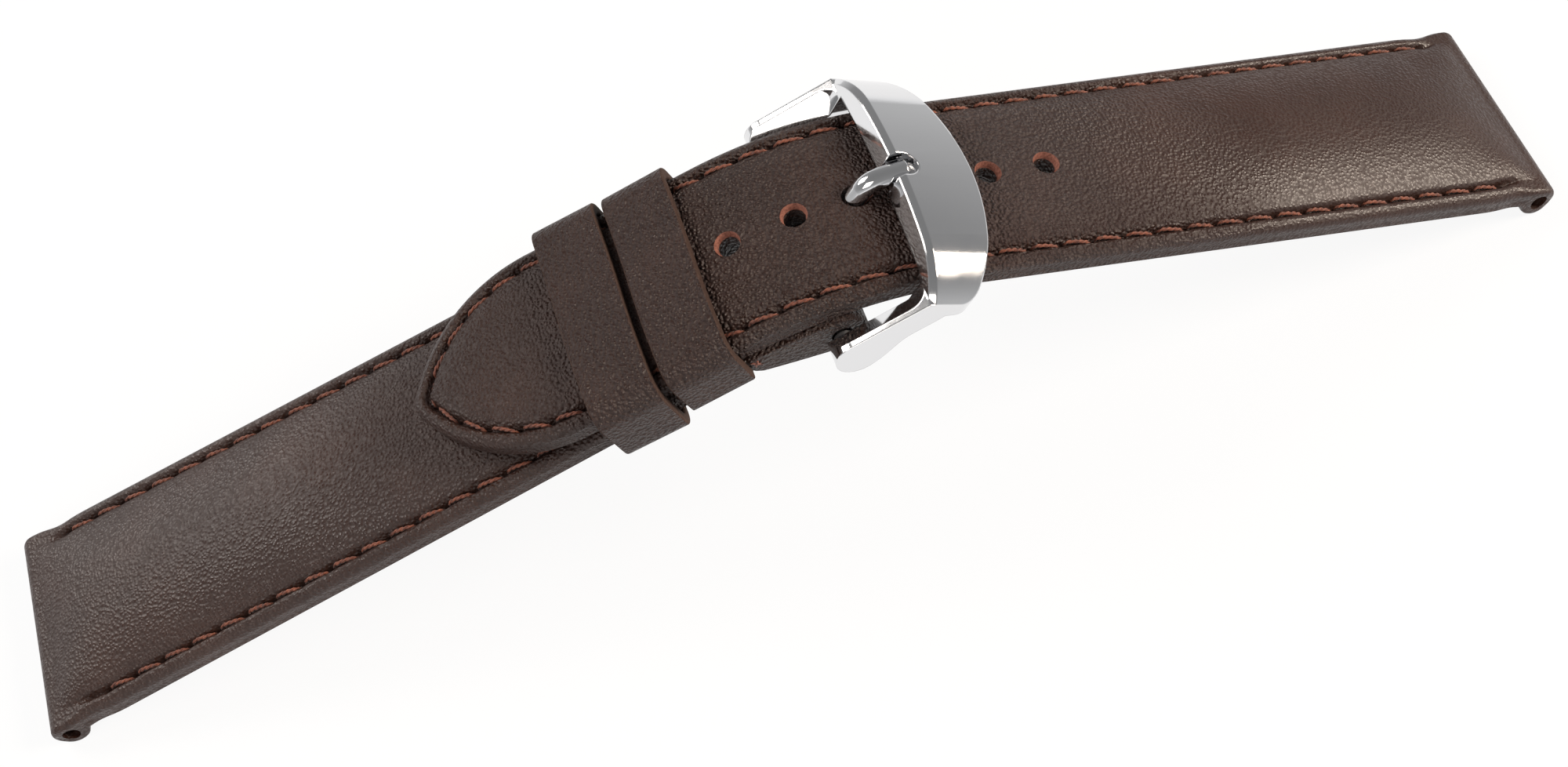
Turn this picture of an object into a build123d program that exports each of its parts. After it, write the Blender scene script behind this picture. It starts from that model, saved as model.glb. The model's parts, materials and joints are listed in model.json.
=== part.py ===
from build123d import *
import os
from math import acos, asin, atan, atan2, cos, degrees, hypot, radians, sin, tan

# A padded leather watch strap, buckled, standing on its two lug ends as a low arch.
# X runs along the strap, from the buckle half to the tail half, Y across it and Z up.
# The origin is on the floor, midway between the lug ends. Lengths are millimetres, angles degrees.

# Path of the strap
short_leg = 70.0  # buckle half, from its lug axis to where the strap starts to bend
tail_leg = 58.2  # tail half, from the end of the bend to its lug axis
bend_radius = 28.5  # underside of the tail over the spring bar
short_rise = 15.4  # slope of the buckle half
tail_overlap = 29.6  # tail tip beyond the bend, lying on the buckle half
layer_gap = 0.15  # between the two halves where one lies on the other

# Leather
lug_width = 20.0
buckle_width = 18.0
taper_length = 60.0  # from the lug axis to where the strap reaches its buckle width
edge_thickness = 2.2  # whole strap at its turned edges
skin_thickness = 0.9  # top leather
lining_thickness = 0.7
lining_inset = 0.6  # lining edge inside the turned edge
filler_inset = 1.0  # filler edge inside the turned edge
edge_round = 0.6
stitch_inset = 1.4
channel_width = 0.6  # groove that the stitches lie in
channel_depth = 0.25
pad_crown = 1.7  # rise of the padded middle above the edges
middle_flat = 2.8  # flat strip along the middle, which the holes go through
tail_flat_crown = 0.35  # rise left in the tail under the buckle
short_flat_crown = 0.05  # rise left in the buckle half where the tail lies on it
pad_start = 4.5  # padding, from the lug axis
pad_rise = 8.5
pad_full = 25.0
pad_stop = 14.0  # padding ends this far before the bend
pad_inset = 0.8  # padding edge inside the stitch groove
pad_flank_shares = (0.55, 0.7)  # place and height of the padding's flanks
crown_rise_shares = (0.12, 0.55, 0.9)  # crown behind the lug roll, at the padding's start and at its rise

# Lug ends, rolled round an open channel for a spring bar
roll_radius = 1.65
lug_bore_radius = 0.95
neck_inset = 0.4  # leather drawn in behind the roll, each side
neck_length = 2.1
lug_fold = 4.5  # lining stops this far from the lug axis
filler_stop = 2.6

# Tail tip and holes
nose_radius = 2.0
tip_length = 13.5
hole_radius = 1.0
hole_pitch = 5.4
hole_in_use_run = 11.45  # past the start of the tail's bend, measured along the tail
holes_before = 3  # holes on the tip's side of the one in use
holes_after = 3

# Buckle end of the short half
bar_run = 6.45  # spring bar past the start of the tail's bend, measured along the tail
loop_wall = 1.35  # leather round the spring bar
loop_gap = 0.2
loop_side_gap = 0.55  # loop's end to the frame's inner face
fold_length = 12.0  # folded end of the top leather, before the bend
tongue_slot_width = 3.2
tongue_slot_back = 1.2  # slot reaches this far behind the loop

# Spring bar
tube_radius = 0.9
tube_wall = 0.25
tube_end_gap = 1.45  # tube's end to the frame's inner face
crimp_length = 0.35
pin_radius = 0.4
pin_running_gap = 0.05
pin_tip_length = 0.85
flange_length = 0.35
flange_gap = 0.1  # flange to the frame's inner face
flange_step = 0.1  # flange smaller than the tube
shoulder_length = 1.0
shoulder_gap = 0.05
bar_running_gap = 0.05  # tube in the loop and in the tongue's eye
wire_radius = 0.1
wire_sides = 4
spring_turns = 6

# Buckle frame
frame_side_gap = 0.75  # strap's edge to the frame's inner face
arm_thickness = 2.3
paddle_radius = 1.95
paddle_front = 0.65  # paddle's middle past the spring bar
paddle_rise = 0.4  # paddle's middle above the spring bar
arm_end_top = 1.45  # arm's top at the front bar, above the line through the spring bar
arm_waist = 0.8  # arm's underside below that line where it is thinnest
arm_heel = 1.1  # arm's underside below that line at the front bar
waist_share = 0.55  # place of the waist along the arm
arm_ridge = 0.55  # flat top of the arm beside its outer face
arm_slope_depth = 1.4  # fall of the arm's top from the ridge to the inner face
window_round = 1.2
frame_reach = 13.7  # spring bar to the outer edge of the front bar, along the tail
bar_gap = 0.15
bar_width = 7.3
bar_end_width = 4.1
bar_corner_round = 2.0
bar_edge = 1.1
bar_tilt = 3.0
bar_wedge = 10.0
bar_arch = 3.1  # fall of the front bar's top from its middle to its ends
bar_calm_share = 0.58  # share of the half width over which that top is nearly flat
bar_calm_fall = 0.45
bar_under_arch = 0.5
bar_bevel = 0.45
pin_hole_gap = 0.05
pin_hole_depth = 1.1

# Tongue
tongue_radius = 0.9
tongue_eye_wall = 0.8
tongue_eye_width = 2.4
tongue_exit = 13.0  # direction from the spring bar to where the wire leaves its eye
tongue_tip_in = 1.5  # tip past the front bar's inner edge
tongue_tip_sink = 0.85  # middle of the tip below the front bar's top
tongue_hook_length = 3.3
tongue_hook_fall = 5.0
tongue_bend = 1.8
tongue_hole_gap = 0.3  # room in the hole that the tongue goes through
notch_side_gap = 0.25
notch_end_gap = 0.95  # tip to the notch's round end
tongue_swing = 2.0  # lift of frame and tongue before the leather stops them

# Keepers
keeper_width = 5.9
keeper_thickness = 1.0
keeper_gap = 0.9  # floating keeper to fixed keeper
fixed_keeper_back = 0.9  # fixed keeper to the start of the bend
keeper_round = 1.4
keeper_inner_round = 0.3
keeper_arch = 0.15  # rise of a keeper's top wall at its middle
keeper_top_gap = 0.2
keeper_side_gap = 0.3
keeper_under_gap = 0.25
fixed_side_gap = 0.08
keeper_travel = 6.0  # towards the tail tip
keeper_foot_reach = 2.2
keeper_foot_thickness = 0.7

overrun = 5.0  # cutting tools reach this far past what they cut
wide = 3.0 * lug_width
full_turn = 360.0

os.makedirs("parts", exist_ok=True)


# Places along the strap
def step(point, slope, along, up):
    """Point (x, z) reached from another by going along a slope and square to it."""
    turn = radians(slope)
    return (
        point[0] + along * cos(turn) - up * sin(turn),
        point[1] + along * sin(turn) + up * cos(turn),
    )


def across(point, slope):
    """Plane square to the strap: its X is across the strap, its Y off the leather."""
    turn = radians(slope)
    return Plane(origin=(point[0], 0, point[1]), x_dir=(0, 1, 0), z_dir=(cos(turn), 0, sin(turn)))


def laid(point, slope):
    """Plane lying along the strap: its X is along the strap, its Y across it."""
    turn = radians(slope)
    return Plane(
        origin=(point[0], 0, point[1]), x_dir=(cos(turn), 0, sin(turn)), z_dir=(-sin(turn), 0, cos(turn))
    )


def upright(point, slope=0.0, side=0.0):
    """Plane of the side view: its X is along a slope, its Y up from it, and it faces -Y."""
    turn = radians(slope)
    return Plane(origin=(point[0], side, point[1]), x_dir=(cos(turn), 0, sin(turn)), z_dir=(0, -1, 0))


roll_height = edge_thickness - roll_radius  # lug axis above a half's underside
short_under = layer_gap + edge_thickness  # underside of the buckle half below the meeting line

# The tail's slope is the one that sets both lug rolls on the floor.
tail_arm = bend_radius + roll_height
bend_drop = bend_radius - short_under + roll_height
climb = bend_drop * cos(radians(short_rise)) - short_leg * sin(radians(short_rise))
tail_fall = degrees(acos(climb / hypot(tail_arm, tail_leg)) - atan2(tail_leg, tail_arm))


def path_from(lug):
    """Start, centre and end of the bend, and the tail's lug axis, for a place of the first lug axis."""
    start = step(lug, short_rise, short_leg, short_under - roll_height)
    centre = step(start, short_rise, 0, -bend_radius)
    end = step(centre, -tail_fall, 0, bend_radius)
    return start, centre, end, step(end, -tail_fall, tail_leg, roll_height)


half_span = path_from((0, roll_radius))[3][0] / 2
short_lug = (-half_span, roll_radius)
bend_centre, bend_end, tail_lug = path_from(short_lug)[1:]

# The tail tip is straight and lies along the crest of the buckle half's padding.
crest_fall = degrees(atan((pad_crown - short_flat_crown) / (short_leg - pad_full)))
tip_rise = short_rise - crest_fall
tip_start = step(bend_centre, tip_rise, 0, bend_radius)
bend_run = bend_radius * radians(tip_rise + tail_fall)


def tail_slope(run):
    """Slope of the tail at a run along its underside from the start of its bend."""
    return tip_rise - degrees(min(max(run, 0), bend_run) / bend_radius)


def on_tail(run, up):
    """Point (x, z) above the tail's underside at a run from the start of its bend."""
    slope = tail_slope(run)
    if run < 0:
        return step(tip_start, slope, run, up)
    if run < bend_run:
        return step(bend_centre, slope, 0, bend_radius + up)
    return step(bend_end, slope, run - bend_run, up)


short_base = step(short_lug, short_rise, 0, -roll_height)  # underside of the buckle half at its lug axis
tail_base = step(tail_lug, -tail_fall, 0, -roll_height)


# Sections of the padded leather
def width_at(distance):
    """Strap width at a distance from the lug axis."""
    return lug_width - (lug_width - buckle_width) * min(distance / taper_length, 1)


def crown_at(distance, length, flat_crown):
    """Rise of the middle above the edges on a leg, from its padding's start to its far end."""
    places = (pad_start, pad_rise, pad_full, length)
    rises = (
        crown_rise_shares[1] * pad_crown,
        crown_rise_shares[2] * pad_crown,
        pad_crown,
        flat_crown,
    )
    for near, far, low, high in zip(places, places[1:], rises, rises[1:]):
        if distance <= far:
            return low + (high - low) * (distance - near) / (far - near)
    return flat_crown


def padded_section(plane, width, crown):
    """Outer section: flat underside, turned edges, a stitch groove by each edge and a crown between."""
    half = width / 2
    groove = half - stitch_inset
    with BuildSketch(plane) as section:
        with BuildLine():
            Polyline((0, 0), (half, 0), (half, edge_thickness - edge_round))
            TangentArc(
                (half, edge_thickness - edge_round), (half - edge_round, edge_thickness), tangent=(0, 1)
            )
            Polyline(
                (half - edge_round, edge_thickness),
                (groove + channel_width / 2, edge_thickness),
                (groove, edge_thickness - channel_depth),
                (groove - channel_width / 2, edge_thickness),
            )
            Line((0, edge_thickness + crown), (middle_flat / 2, edge_thickness + crown))
            TangentArc(
                (middle_flat / 2, edge_thickness + crown),
                (groove - channel_width / 2, edge_thickness),
                tangent=(1, 0),
            )
            mirror(about=Plane.YZ)
        make_face()
    return section.sketch


def padding_section(plane, width, crown):
    """Padding under the top leather: flat below, with a ridge and two flanks above."""
    half = width / 2 - stitch_inset - channel_width / 2 - pad_inset
    low = edge_thickness - skin_thickness
    flank = (pad_flank_shares[0] * half, low + pad_flank_shares[1] * crown)
    with BuildSketch(plane) as section:
        with BuildLine():
            Polyline((0, low), (half, low), flank, (0, low + crown))
            mirror(about=Plane.YZ)
        make_face()
    return section.sketch


def sheet_section(plane, width, inset, low, high):
    """Flat sheet inside the turned edges, from one height above the underside to another."""
    half = width / 2 - inset
    with BuildSketch(plane) as section:
        with BuildLine():
            Polyline((-half, low), (half, low), (half, high), (-half, high), close=True)
        make_face()
    return section.sketch


def leg_plane(base, slope, distance):
    """Section plane on a leg at a distance from its lug axis towards the buckle."""
    reach = distance if base == short_base else -distance
    return across(step(base, slope, reach, 0), slope)


def leg_body(base, slope, length, flat_crown):
    """Padded leg of one half with its lug roll."""
    neck = lug_width - 2 * neck_inset
    padded = [pad_start, pad_rise, pad_full]
    if pad_full < taper_length < length:
        padded.append(taper_length)
    places = [(0, neck, short_flat_crown), (neck_length, neck, crown_rise_shares[0] * pad_crown)]
    places += [(place, width_at(place), crown_at(place, length, flat_crown)) for place in padded]
    places.append((length, buckle_width, flat_crown))
    roll_centre = step(base, slope, 0, roll_height)
    with BuildPart() as leg:
        loft(
            sections=[
                padded_section(leg_plane(base, slope, place), width, crown)
                for place, width, crown in places
            ],
            ruled=True,
        )
        with BuildSketch(upright(roll_centre)):
            Circle(roll_radius)
        extrude(amount=lug_width / 2, both=True)
        with BuildSketch(upright(roll_centre)):
            Circle(lug_bore_radius)
        extrude(amount=lug_width, both=True, mode=Mode.SUBTRACT)
    return leg.part


def leg_padding(base, slope, length, flat_crown):
    """Padding of one leg."""
    places = (pad_start, pad_rise, pad_full, length - pad_stop)
    with BuildPart() as pad:
        loft(
            sections=[
                padding_section(
                    leg_plane(base, slope, place), width_at(place), crown_at(place, length, flat_crown)
                )
                for place in places
            ],
            ruled=True,
        )
    return pad.part


def leg_sheet(base, slope, near, far, inset, low, high):
    """Flat sheet of one leg between two distances from its lug axis."""
    reach = 1 if base == short_base else -1
    places = [near, taper_length, far] if near < taper_length < far else [near, far]
    corners = [(reach * place, width_at(place) / 2 - inset) for place in places]
    with BuildPart() as sheet:
        with BuildSketch(laid(step(base, slope, 0, low), slope)):
            with BuildLine():
                Polyline(*corners, *[(along, -side) for along, side in reversed(corners)], close=True)
            make_face()
        extrude(amount=high - low)
    return sheet.part


# Tail half
tip_bow = (tip_length**2 + (buckle_width / 2) ** 2) / buckle_width  # radius of the tip's two curved sides


def tip_plan(inset):
    """Plan of the pointed tail tip, from its point to the start of the bend."""
    half = buckle_width / 2
    with BuildSketch(laid(on_tail(-tail_overlap, 0), tip_rise)) as plan:
        with BuildLine():
            RadiusArc((0, 0), (tip_length, half), tip_bow)
            Polyline(
                (tip_length, half), (tail_overlap, half), (tail_overlap, -half), (tip_length, -half)
            )
            RadiusArc((tip_length, -half), (0, 0), tip_bow)
        make_face()
        fillet(plan.vertices().sort_by(Axis.X)[0], nose_radius)
        if inset:
            offset(amount=-inset, kind=Kind.INTERSECTION, mode=Mode.REPLACE)
            with Locations((tail_overlap - inset, 0)):
                Rectangle(2 * inset, buckle_width - 2 * inset)
    return plan.sketch


def tail_run(section_of, inset):
    """Bend and tip of the tail with one constant section, which a function gives for a plane."""
    with BuildPart() as run:
        extrude(to_extrude=section_of(across(on_tail(0, 0), tip_rise)), amount=-tail_overlap)
        extrude(to_extrude=tip_plan(inset), amount=edge_thickness * 2, both=True, mode=Mode.INTERSECT)
        revolve(
            profiles=section_of(across(on_tail(0, 0), tip_rise)),
            axis=Axis((bend_centre[0], 0, bend_centre[1]), (0, 1, 0)),
            revolution_arc=tip_rise + tail_fall,
        )
    return run.part


filler_top = edge_thickness - skin_thickness
loop_radius = tube_radius + bar_running_gap + loop_wall
spring_bar = on_tail(bar_run, -(loop_radius + loop_gap))

# Buckle frame: front bar, a wedge lying on the tail, and two arms down to the spring bar
outer_run = bar_run + frame_reach
outer_distance = tail_leg + bend_run - outer_run
under_slope = -(tail_fall + bar_tilt)
top_slope = under_slope - bar_wedge
bar_under = on_tail(
    outer_run, edge_thickness + crown_at(outer_distance, tail_leg, tail_flat_crown) + bar_gap
)
bar_inner = step(step(bar_under, under_slope, 0, bar_edge), top_slope, -bar_width, 0)
inner_side = buckle_width / 2 + frame_side_gap
frame_half = inner_side + arm_thickness
end_depth = bar_edge + bar_arch
bar_depth = end_depth + bar_width

arm_end = step(bar_inner, top_slope, 0, -bar_arch)
arm_reach = hypot(arm_end[0] - spring_bar[0], arm_end[1] - spring_bar[1])
arm_slope = degrees(
    atan2(arm_end[1] - spring_bar[1], arm_end[0] - spring_bar[0]) - asin(arm_end_top / arm_reach)
)
arm_front = (arm_reach**2 - arm_end_top**2) ** 0.5
arm_corner = step((arm_front, arm_end_top), top_slope - arm_slope, bar_end_width, 0)
arm_toe = step(arm_corner, top_slope - arm_slope, 0, -bar_edge)
calm_half = frame_half * bar_calm_share
paddle_top = paddle_rise + paddle_radius
ridge_length = arm_front - paddle_front
ridge_slope = arm_slope + degrees(atan2(arm_end_top - paddle_top, ridge_length))
ridge_half = frame_half - arm_ridge

# Tongue: an eye round the spring bar, a wire up through the hole in use and a hook in the bar's notch
tongue_tip = step(bar_inner, top_slope, tongue_tip_in, -tongue_tip_sink)
tongue_hump = step(tongue_tip, -tongue_hook_fall, -tongue_hook_length, 0)
eye_bore = tube_radius + bar_running_gap
tongue_start = step(spring_bar, tongue_exit, eye_bore + tongue_eye_wall / 2, 0)
shank_slope = degrees(atan2(tongue_hump[1] - tongue_start[1], tongue_hump[0] - tongue_start[0]))
shank_length = hypot(tongue_hump[1] - tongue_start[1], tongue_hump[0] - tongue_start[0])
notch_floor = step(tongue_tip, -tongue_hook_fall, 0, -(tongue_radius + bar_running_gap))
notch_width = 2 * (tongue_radius + notch_side_gap)
notch_length = tongue_hook_length + notch_width

# Room over the arms' inner slopes, which meets the front bar in round corners
with BuildPart() as window_slopes:
    with BuildSketch(across(step(spring_bar, arm_slope, paddle_front, paddle_top), ridge_slope)):
        with BuildLine():
            Polyline(
                (-ridge_half, 0),
                (-inner_side, -arm_slope_depth),
                (inner_side, -arm_slope_depth),
                (ridge_half, 0),
                (ridge_half, bar_depth),
                (-ridge_half, bar_depth),
                close=True,
            )
        make_face()
    extrude(amount=arm_reach + overrun, both=True)
    with BuildSketch(laid(bar_inner, top_slope)):
        with Locations((-arm_reach, 0)):
            RectangleRounded(2 * arm_reach, 2 * ridge_half, window_round)
    extrude(amount=bar_depth + arm_reach, both=True, mode=Mode.INTERSECT)

with BuildPart() as buckle_frame:
    with BuildSketch(across(bar_inner, top_slope)):
        with BuildLine():
            calm = ThreePointArc((0, 0), (calm_half / 2, -bar_calm_fall / 4), (calm_half, -bar_calm_fall))
            TangentArc(calm @ 1, (frame_half, -bar_arch), tangent=calm % 1)
            Polyline((frame_half, -bar_arch), (frame_half, -end_depth), (0, -end_depth), (0, 0))
        make_face()
    extrude(amount=bar_width)
    mirror(about=Plane.XZ)
    inner_rims = buckle_frame.edges().filter_by(GeomType.CIRCLE).group_by(Axis.X)[0]
    chamfer(inner_rims, bar_bevel)
    with BuildSketch(across(bar_under, under_slope)):
        with BuildLine():
            ThreePointArc((-inner_side, -bar_under_arch), (0, 0), (inner_side, -bar_under_arch))
            Polyline(
                (inner_side, -bar_under_arch),
                (inner_side, -bar_depth),
                (-inner_side, -bar_depth),
                (-inner_side, -bar_under_arch),
            )
        make_face()
    extrude(amount=bar_width + overrun, both=True, mode=Mode.SUBTRACT)
    with BuildSketch(upright(spring_bar, arm_slope, -inner_side)):
        with Locations((paddle_front, paddle_rise)):
            Circle(paddle_radius)
        with BuildLine():
            Spline(
                (paddle_front, paddle_rise - paddle_radius),
                (arm_front * waist_share, -arm_waist),
                (arm_front, -arm_heel),
                tangents=((1, 0), (1, 0)),
            )
            Polyline(
                (arm_front, -arm_heel),
                arm_toe,
                arm_corner,
                (arm_front, arm_end_top),
                (paddle_front, paddle_top),
                (paddle_front, paddle_rise - paddle_radius),
            )
        make_face()
    extrude(amount=arm_thickness)
    with BuildSketch(upright(spring_bar, 0, -inner_side)):
        Circle(pin_radius + pin_hole_gap)
    extrude(amount=pin_hole_depth, mode=Mode.SUBTRACT)
    mirror(about=Plane.XZ)
    # In plan the frame ends in the front bar's bow, with round corners.
    with BuildSketch(laid(bar_inner, top_slope)):
        with BuildLine():
            bow = ThreePointArc(
                (bar_end_width, -frame_half), (bar_width, 0), (bar_end_width, frame_half)
            )
            Polyline(
                bow @ 1, (-arm_reach - overrun, frame_half), (-arm_reach - overrun, -frame_half), bow @ 0
            )
        make_face()
        fillet(vertices().sort_by(Axis.X)[-2:], bar_corner_round)
    extrude(amount=bar_depth + arm_reach, both=True, mode=Mode.INTERSECT)
    add(window_slopes.part, mode=Mode.SUBTRACT)
    with BuildSketch(laid(notch_floor, -tongue_hook_fall)):
        with Locations((notch_end_gap - notch_length / 2, 0)):
            SlotOverall(notch_length, notch_width)
    extrude(amount=bar_depth, mode=Mode.SUBTRACT)

with BuildPart() as tongue:
    with BuildSketch(upright(spring_bar)):
        Circle(eye_bore + tongue_eye_wall)
    extrude(amount=tongue_eye_width / 2, both=True)
    with BuildLine(Plane.XZ) as tongue_path:
        FilletPolyline(tongue_start, tongue_hump, tongue_tip, radius=tongue_bend)
    with BuildSketch(Plane(origin=tongue_path.line @ 0, z_dir=tongue_path.line % 0)):
        Circle(tongue_radius)
    sweep(path=tongue_path.line)
    with BuildSketch(upright(spring_bar)):
        Circle(eye_bore)
    extrude(amount=tongue_eye_width, both=True, mode=Mode.SUBTRACT)

# Spring bar: a tube with crimped ends, a plunger in each and a spring between them
tube_half = inner_side - tube_end_gap
tube_bore = tube_radius - tube_wall
shoulder_outer = tube_half - crimp_length - shoulder_gap
shoulder_inner = shoulder_outer - shoulder_length
flange_outer = inner_side - flange_gap
bar_axis = Axis((spring_bar[0], 0, spring_bar[1]), (0, 1, 0))
bar_profile = Plane(origin=(spring_bar[0], 0, spring_bar[1]), x_dir=(0, 1, 0), z_dir=(1, 0, 0))

with BuildPart() as spring_bar_tube:
    with BuildSketch(bar_profile):
        with BuildLine():
            Polyline(
                (0, tube_bore),
                (tube_half - crimp_length, tube_bore),
                (tube_half - crimp_length, pin_radius + pin_running_gap),
                (tube_half, pin_radius + pin_running_gap),
                (tube_half, tube_radius),
                (0, tube_radius),
                close=True,
            )
        make_face()
    revolve(axis=bar_axis)
    mirror(about=Plane.XZ)

with BuildPart() as far_plunger:
    with BuildSketch(bar_profile):
        with BuildLine():
            Polyline(
                (shoulder_inner, 0),
                (shoulder_inner, tube_bore - pin_running_gap),
                (shoulder_outer, tube_bore - pin_running_gap),
                (shoulder_outer, pin_radius),
                (flange_outer - flange_length, pin_radius),
                (flange_outer - flange_length, tube_radius - flange_step),
                (flange_outer, tube_radius - flange_step),
                (flange_outer, pin_radius),
                (flange_outer + pin_tip_length, pin_radius),
                (flange_outer + pin_tip_length, 0),
                close=True,
            )
        make_face()
    revolve(axis=bar_axis)
    tip_rim = far_plunger.edges().filter_by(GeomType.CIRCLE).sort_by(Axis.Y)[-1]
    chamfer(tip_rim, pin_radius / 2)

with BuildPart() as near_plunger:
    add(far_plunger.part)
    mirror(about=Plane.XZ, mode=Mode.REPLACE)

with BuildPart() as spring_bar_spring:
    coil_radius = tube_bore - pin_running_gap - wire_radius
    coil_half = shoulder_inner - wire_radius
    with BuildLine() as coil_path:
        Helix(
            pitch=2 * coil_half / spring_turns,
            height=2 * coil_half,
            radius=coil_radius,
            center=(spring_bar[0], -coil_half, spring_bar[1]),
            direction=(0, 1, 0),
        )
    with BuildSketch(Plane(origin=coil_path.line @ 0, z_dir=coil_path.line % 0)):
        RegularPolygon(wire_radius, wire_sides)
    sweep(path=coil_path.line, is_frenet=True)

# Holes through the tail
with BuildPart() as punches:
    for place in range(-holes_before, holes_after + 1):
        run = hole_in_use_run + place * hole_pitch
        if place:
            with BuildSketch(laid(on_tail(run, 0), tail_slope(run))):
                Circle(hole_radius)
            extrude(amount=edge_thickness * 2, both=True)
    # The hole in use is pulled slanting by the tongue, and leaves room for its swing.
    shank_start = step(spring_bar, tongue_exit + tongue_swing / 2, eye_bore + tongue_eye_wall / 2, 0)
    with BuildSketch(across(shank_start, shank_slope + tongue_swing / 2)):
        Circle(tongue_radius + tongue_hole_gap)
    extrude(amount=shank_length + overrun)

# Buckle half's loop round the spring bar
leg_end = step(short_base, short_rise, short_leg, 0)
with BuildPart() as loop:
    with BuildSketch(Plane.XZ):
        with BuildLine():
            CenterArc(spring_bar, loop_radius, 0, full_turn)
            Line(leg_end, step(leg_end, short_rise, 0, edge_thickness))
        make_hull()
    extrude(amount=inner_side - loop_side_gap, both=True)

# Keepers
def tail_over_short(back):
    """Height of the tail's underside above the buckle half's, at a distance back from the bend's start."""
    bend_part = bend_radius * radians(crest_fall)
    return short_under + (back + bend_part / 2) * tan(radians(crest_fall))


def keeper_section(plane, half, low, side_top, middle_top, rounding):
    """Closed outline of a keeper: flat below, arched above."""
    with BuildSketch(plane) as outline:
        with BuildLine():
            Polyline((-half, side_top), (-half, low), (half, low), (half, side_top))
            ThreePointArc((half, side_top), (0, middle_top), (-half, side_top))
        make_face()
        fillet(outline.vertices(), rounding)
    return outline.sketch


strap_half = buckle_width / 2
with BuildPart() as fixed_keeper:
    back = fixed_keeper_back + keeper_width
    keeper_plane = across(step(short_base, short_rise, short_leg - back, 0), short_rise)
    side_top = tail_over_short(back) + edge_thickness + tail_flat_crown + keeper_top_gap - keeper_arch
    inner_half = strap_half + fixed_side_gap
    extrude(
        to_extrude=keeper_section(
            keeper_plane,
            inner_half + keeper_thickness,
            lining_thickness - keeper_round,
            side_top + keeper_thickness,
            side_top + keeper_arch + keeper_thickness,
            keeper_round,
        ),
        amount=keeper_width,
    )
    extrude(
        to_extrude=keeper_section(
            keeper_plane,
            inner_half,
            -overrun,
            side_top,
            side_top + keeper_arch,
            keeper_inner_round,
        ),
        amount=keeper_width,
        mode=Mode.SUBTRACT,
    )
    with BuildSketch(keeper_plane):
        with Locations((0, lining_thickness - overrun / 2)):
            Rectangle(wide, overrun)
    extrude(amount=keeper_width, mode=Mode.SUBTRACT)
    foot_length = keeper_foot_reach + fixed_side_gap + keeper_thickness / 2
    foot_centre = strap_half - keeper_foot_reach + foot_length / 2
    with BuildSketch(keeper_plane):
        with Locations(
            (-foot_centre, lining_thickness + keeper_foot_thickness / 2),
            (foot_centre, lining_thickness + keeper_foot_thickness / 2),
        ):
            Rectangle(foot_length, keeper_foot_thickness)
    extrude(amount=keeper_width)

with BuildPart() as floating_keeper:
    tail_back = back + keeper_gap + keeper_width + bend_radius * radians(crest_fall)
    keeper_plane = across(on_tail(-tail_back, 0), tip_rise)
    low = -(tail_over_short(tail_back + keeper_travel) + keeper_under_gap)
    side_top = edge_thickness + tail_flat_crown + keeper_top_gap - keeper_arch
    for grow, rounding, mode in (
        (keeper_thickness, keeper_round, Mode.ADD),
        (0, keeper_inner_round, Mode.SUBTRACT),
    ):
        extrude(
            to_extrude=keeper_section(
                keeper_plane,
                strap_half + keeper_side_gap + grow,
                low - grow,
                side_top + grow,
                side_top + keeper_arch + grow,
                rounding,
            ),
            amount=keeper_width,
            mode=mode,
        )

# Layers of the tail half
with BuildPart() as tail_lining:
    add(leg_sheet(tail_base, -tail_fall, lug_fold, tail_leg, lining_inset, 0, lining_thickness))
    add(
        tail_run(
            lambda plane: sheet_section(plane, buckle_width, lining_inset, 0, lining_thickness),
            lining_inset,
        )
    )
    add(punches.part, mode=Mode.SUBTRACT)

with BuildPart() as tail_filler:
    add(leg_sheet(tail_base, -tail_fall, filler_stop, tail_leg, filler_inset, lining_thickness, filler_top))
    add(
        tail_run(
            lambda plane: sheet_section(plane, buckle_width, filler_inset, lining_thickness, filler_top),
            filler_inset,
        )
    )
    add(punches.part, mode=Mode.SUBTRACT)

with BuildPart() as tail_padding:
    add(leg_padding(tail_base, -tail_fall, tail_leg, tail_flat_crown))

with BuildPart() as tail_top_leather:
    add(leg_body(tail_base, -tail_fall, tail_leg, tail_flat_crown))
    add(tail_run(lambda plane: padded_section(plane, buckle_width, tail_flat_crown), 0))
    add(punches.part, mode=Mode.SUBTRACT)
    add(tail_lining.part, mode=Mode.SUBTRACT)
    add(tail_filler.part, mode=Mode.SUBTRACT)
    add(tail_padding.part, mode=Mode.SUBTRACT)

# Layers of the buckle half
with BuildPart() as short_lining:
    add(
        leg_sheet(
            short_base, short_rise, lug_fold, short_leg - fold_length, lining_inset, 0, lining_thickness
        )
    )

with BuildPart() as short_filler:
    add(
        leg_sheet(
            short_base,
            short_rise,
            filler_stop,
            short_leg - fold_length,
            filler_inset,
            lining_thickness,
            filler_top,
        )
    )

with BuildPart() as short_padding:
    add(leg_padding(short_base, short_rise, short_leg, short_flat_crown))

with BuildPart() as short_top_leather:
    add(leg_body(short_base, short_rise, short_leg, short_flat_crown))
    add(loop.part)
    with BuildSketch(upright(spring_bar)):
        Circle(eye_bore)
    extrude(amount=lug_width, both=True, mode=Mode.SUBTRACT)
    slot_back = loop_radius + tongue_slot_back
    with BuildSketch(laid(spring_bar, 0)):
        with Locations(((overrun + loop_radius - slot_back) / 2, 0)):
            Rectangle(overrun + loop_radius + slot_back, tongue_slot_width)
    extrude(amount=overrun, both=True, mode=Mode.SUBTRACT)
    add(short_lining.part, mode=Mode.SUBTRACT)
    add(short_filler.part, mode=Mode.SUBTRACT)
    add(short_padding.part, mode=Mode.SUBTRACT)
    add(fixed_keeper.part, mode=Mode.SUBTRACT)

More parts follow.
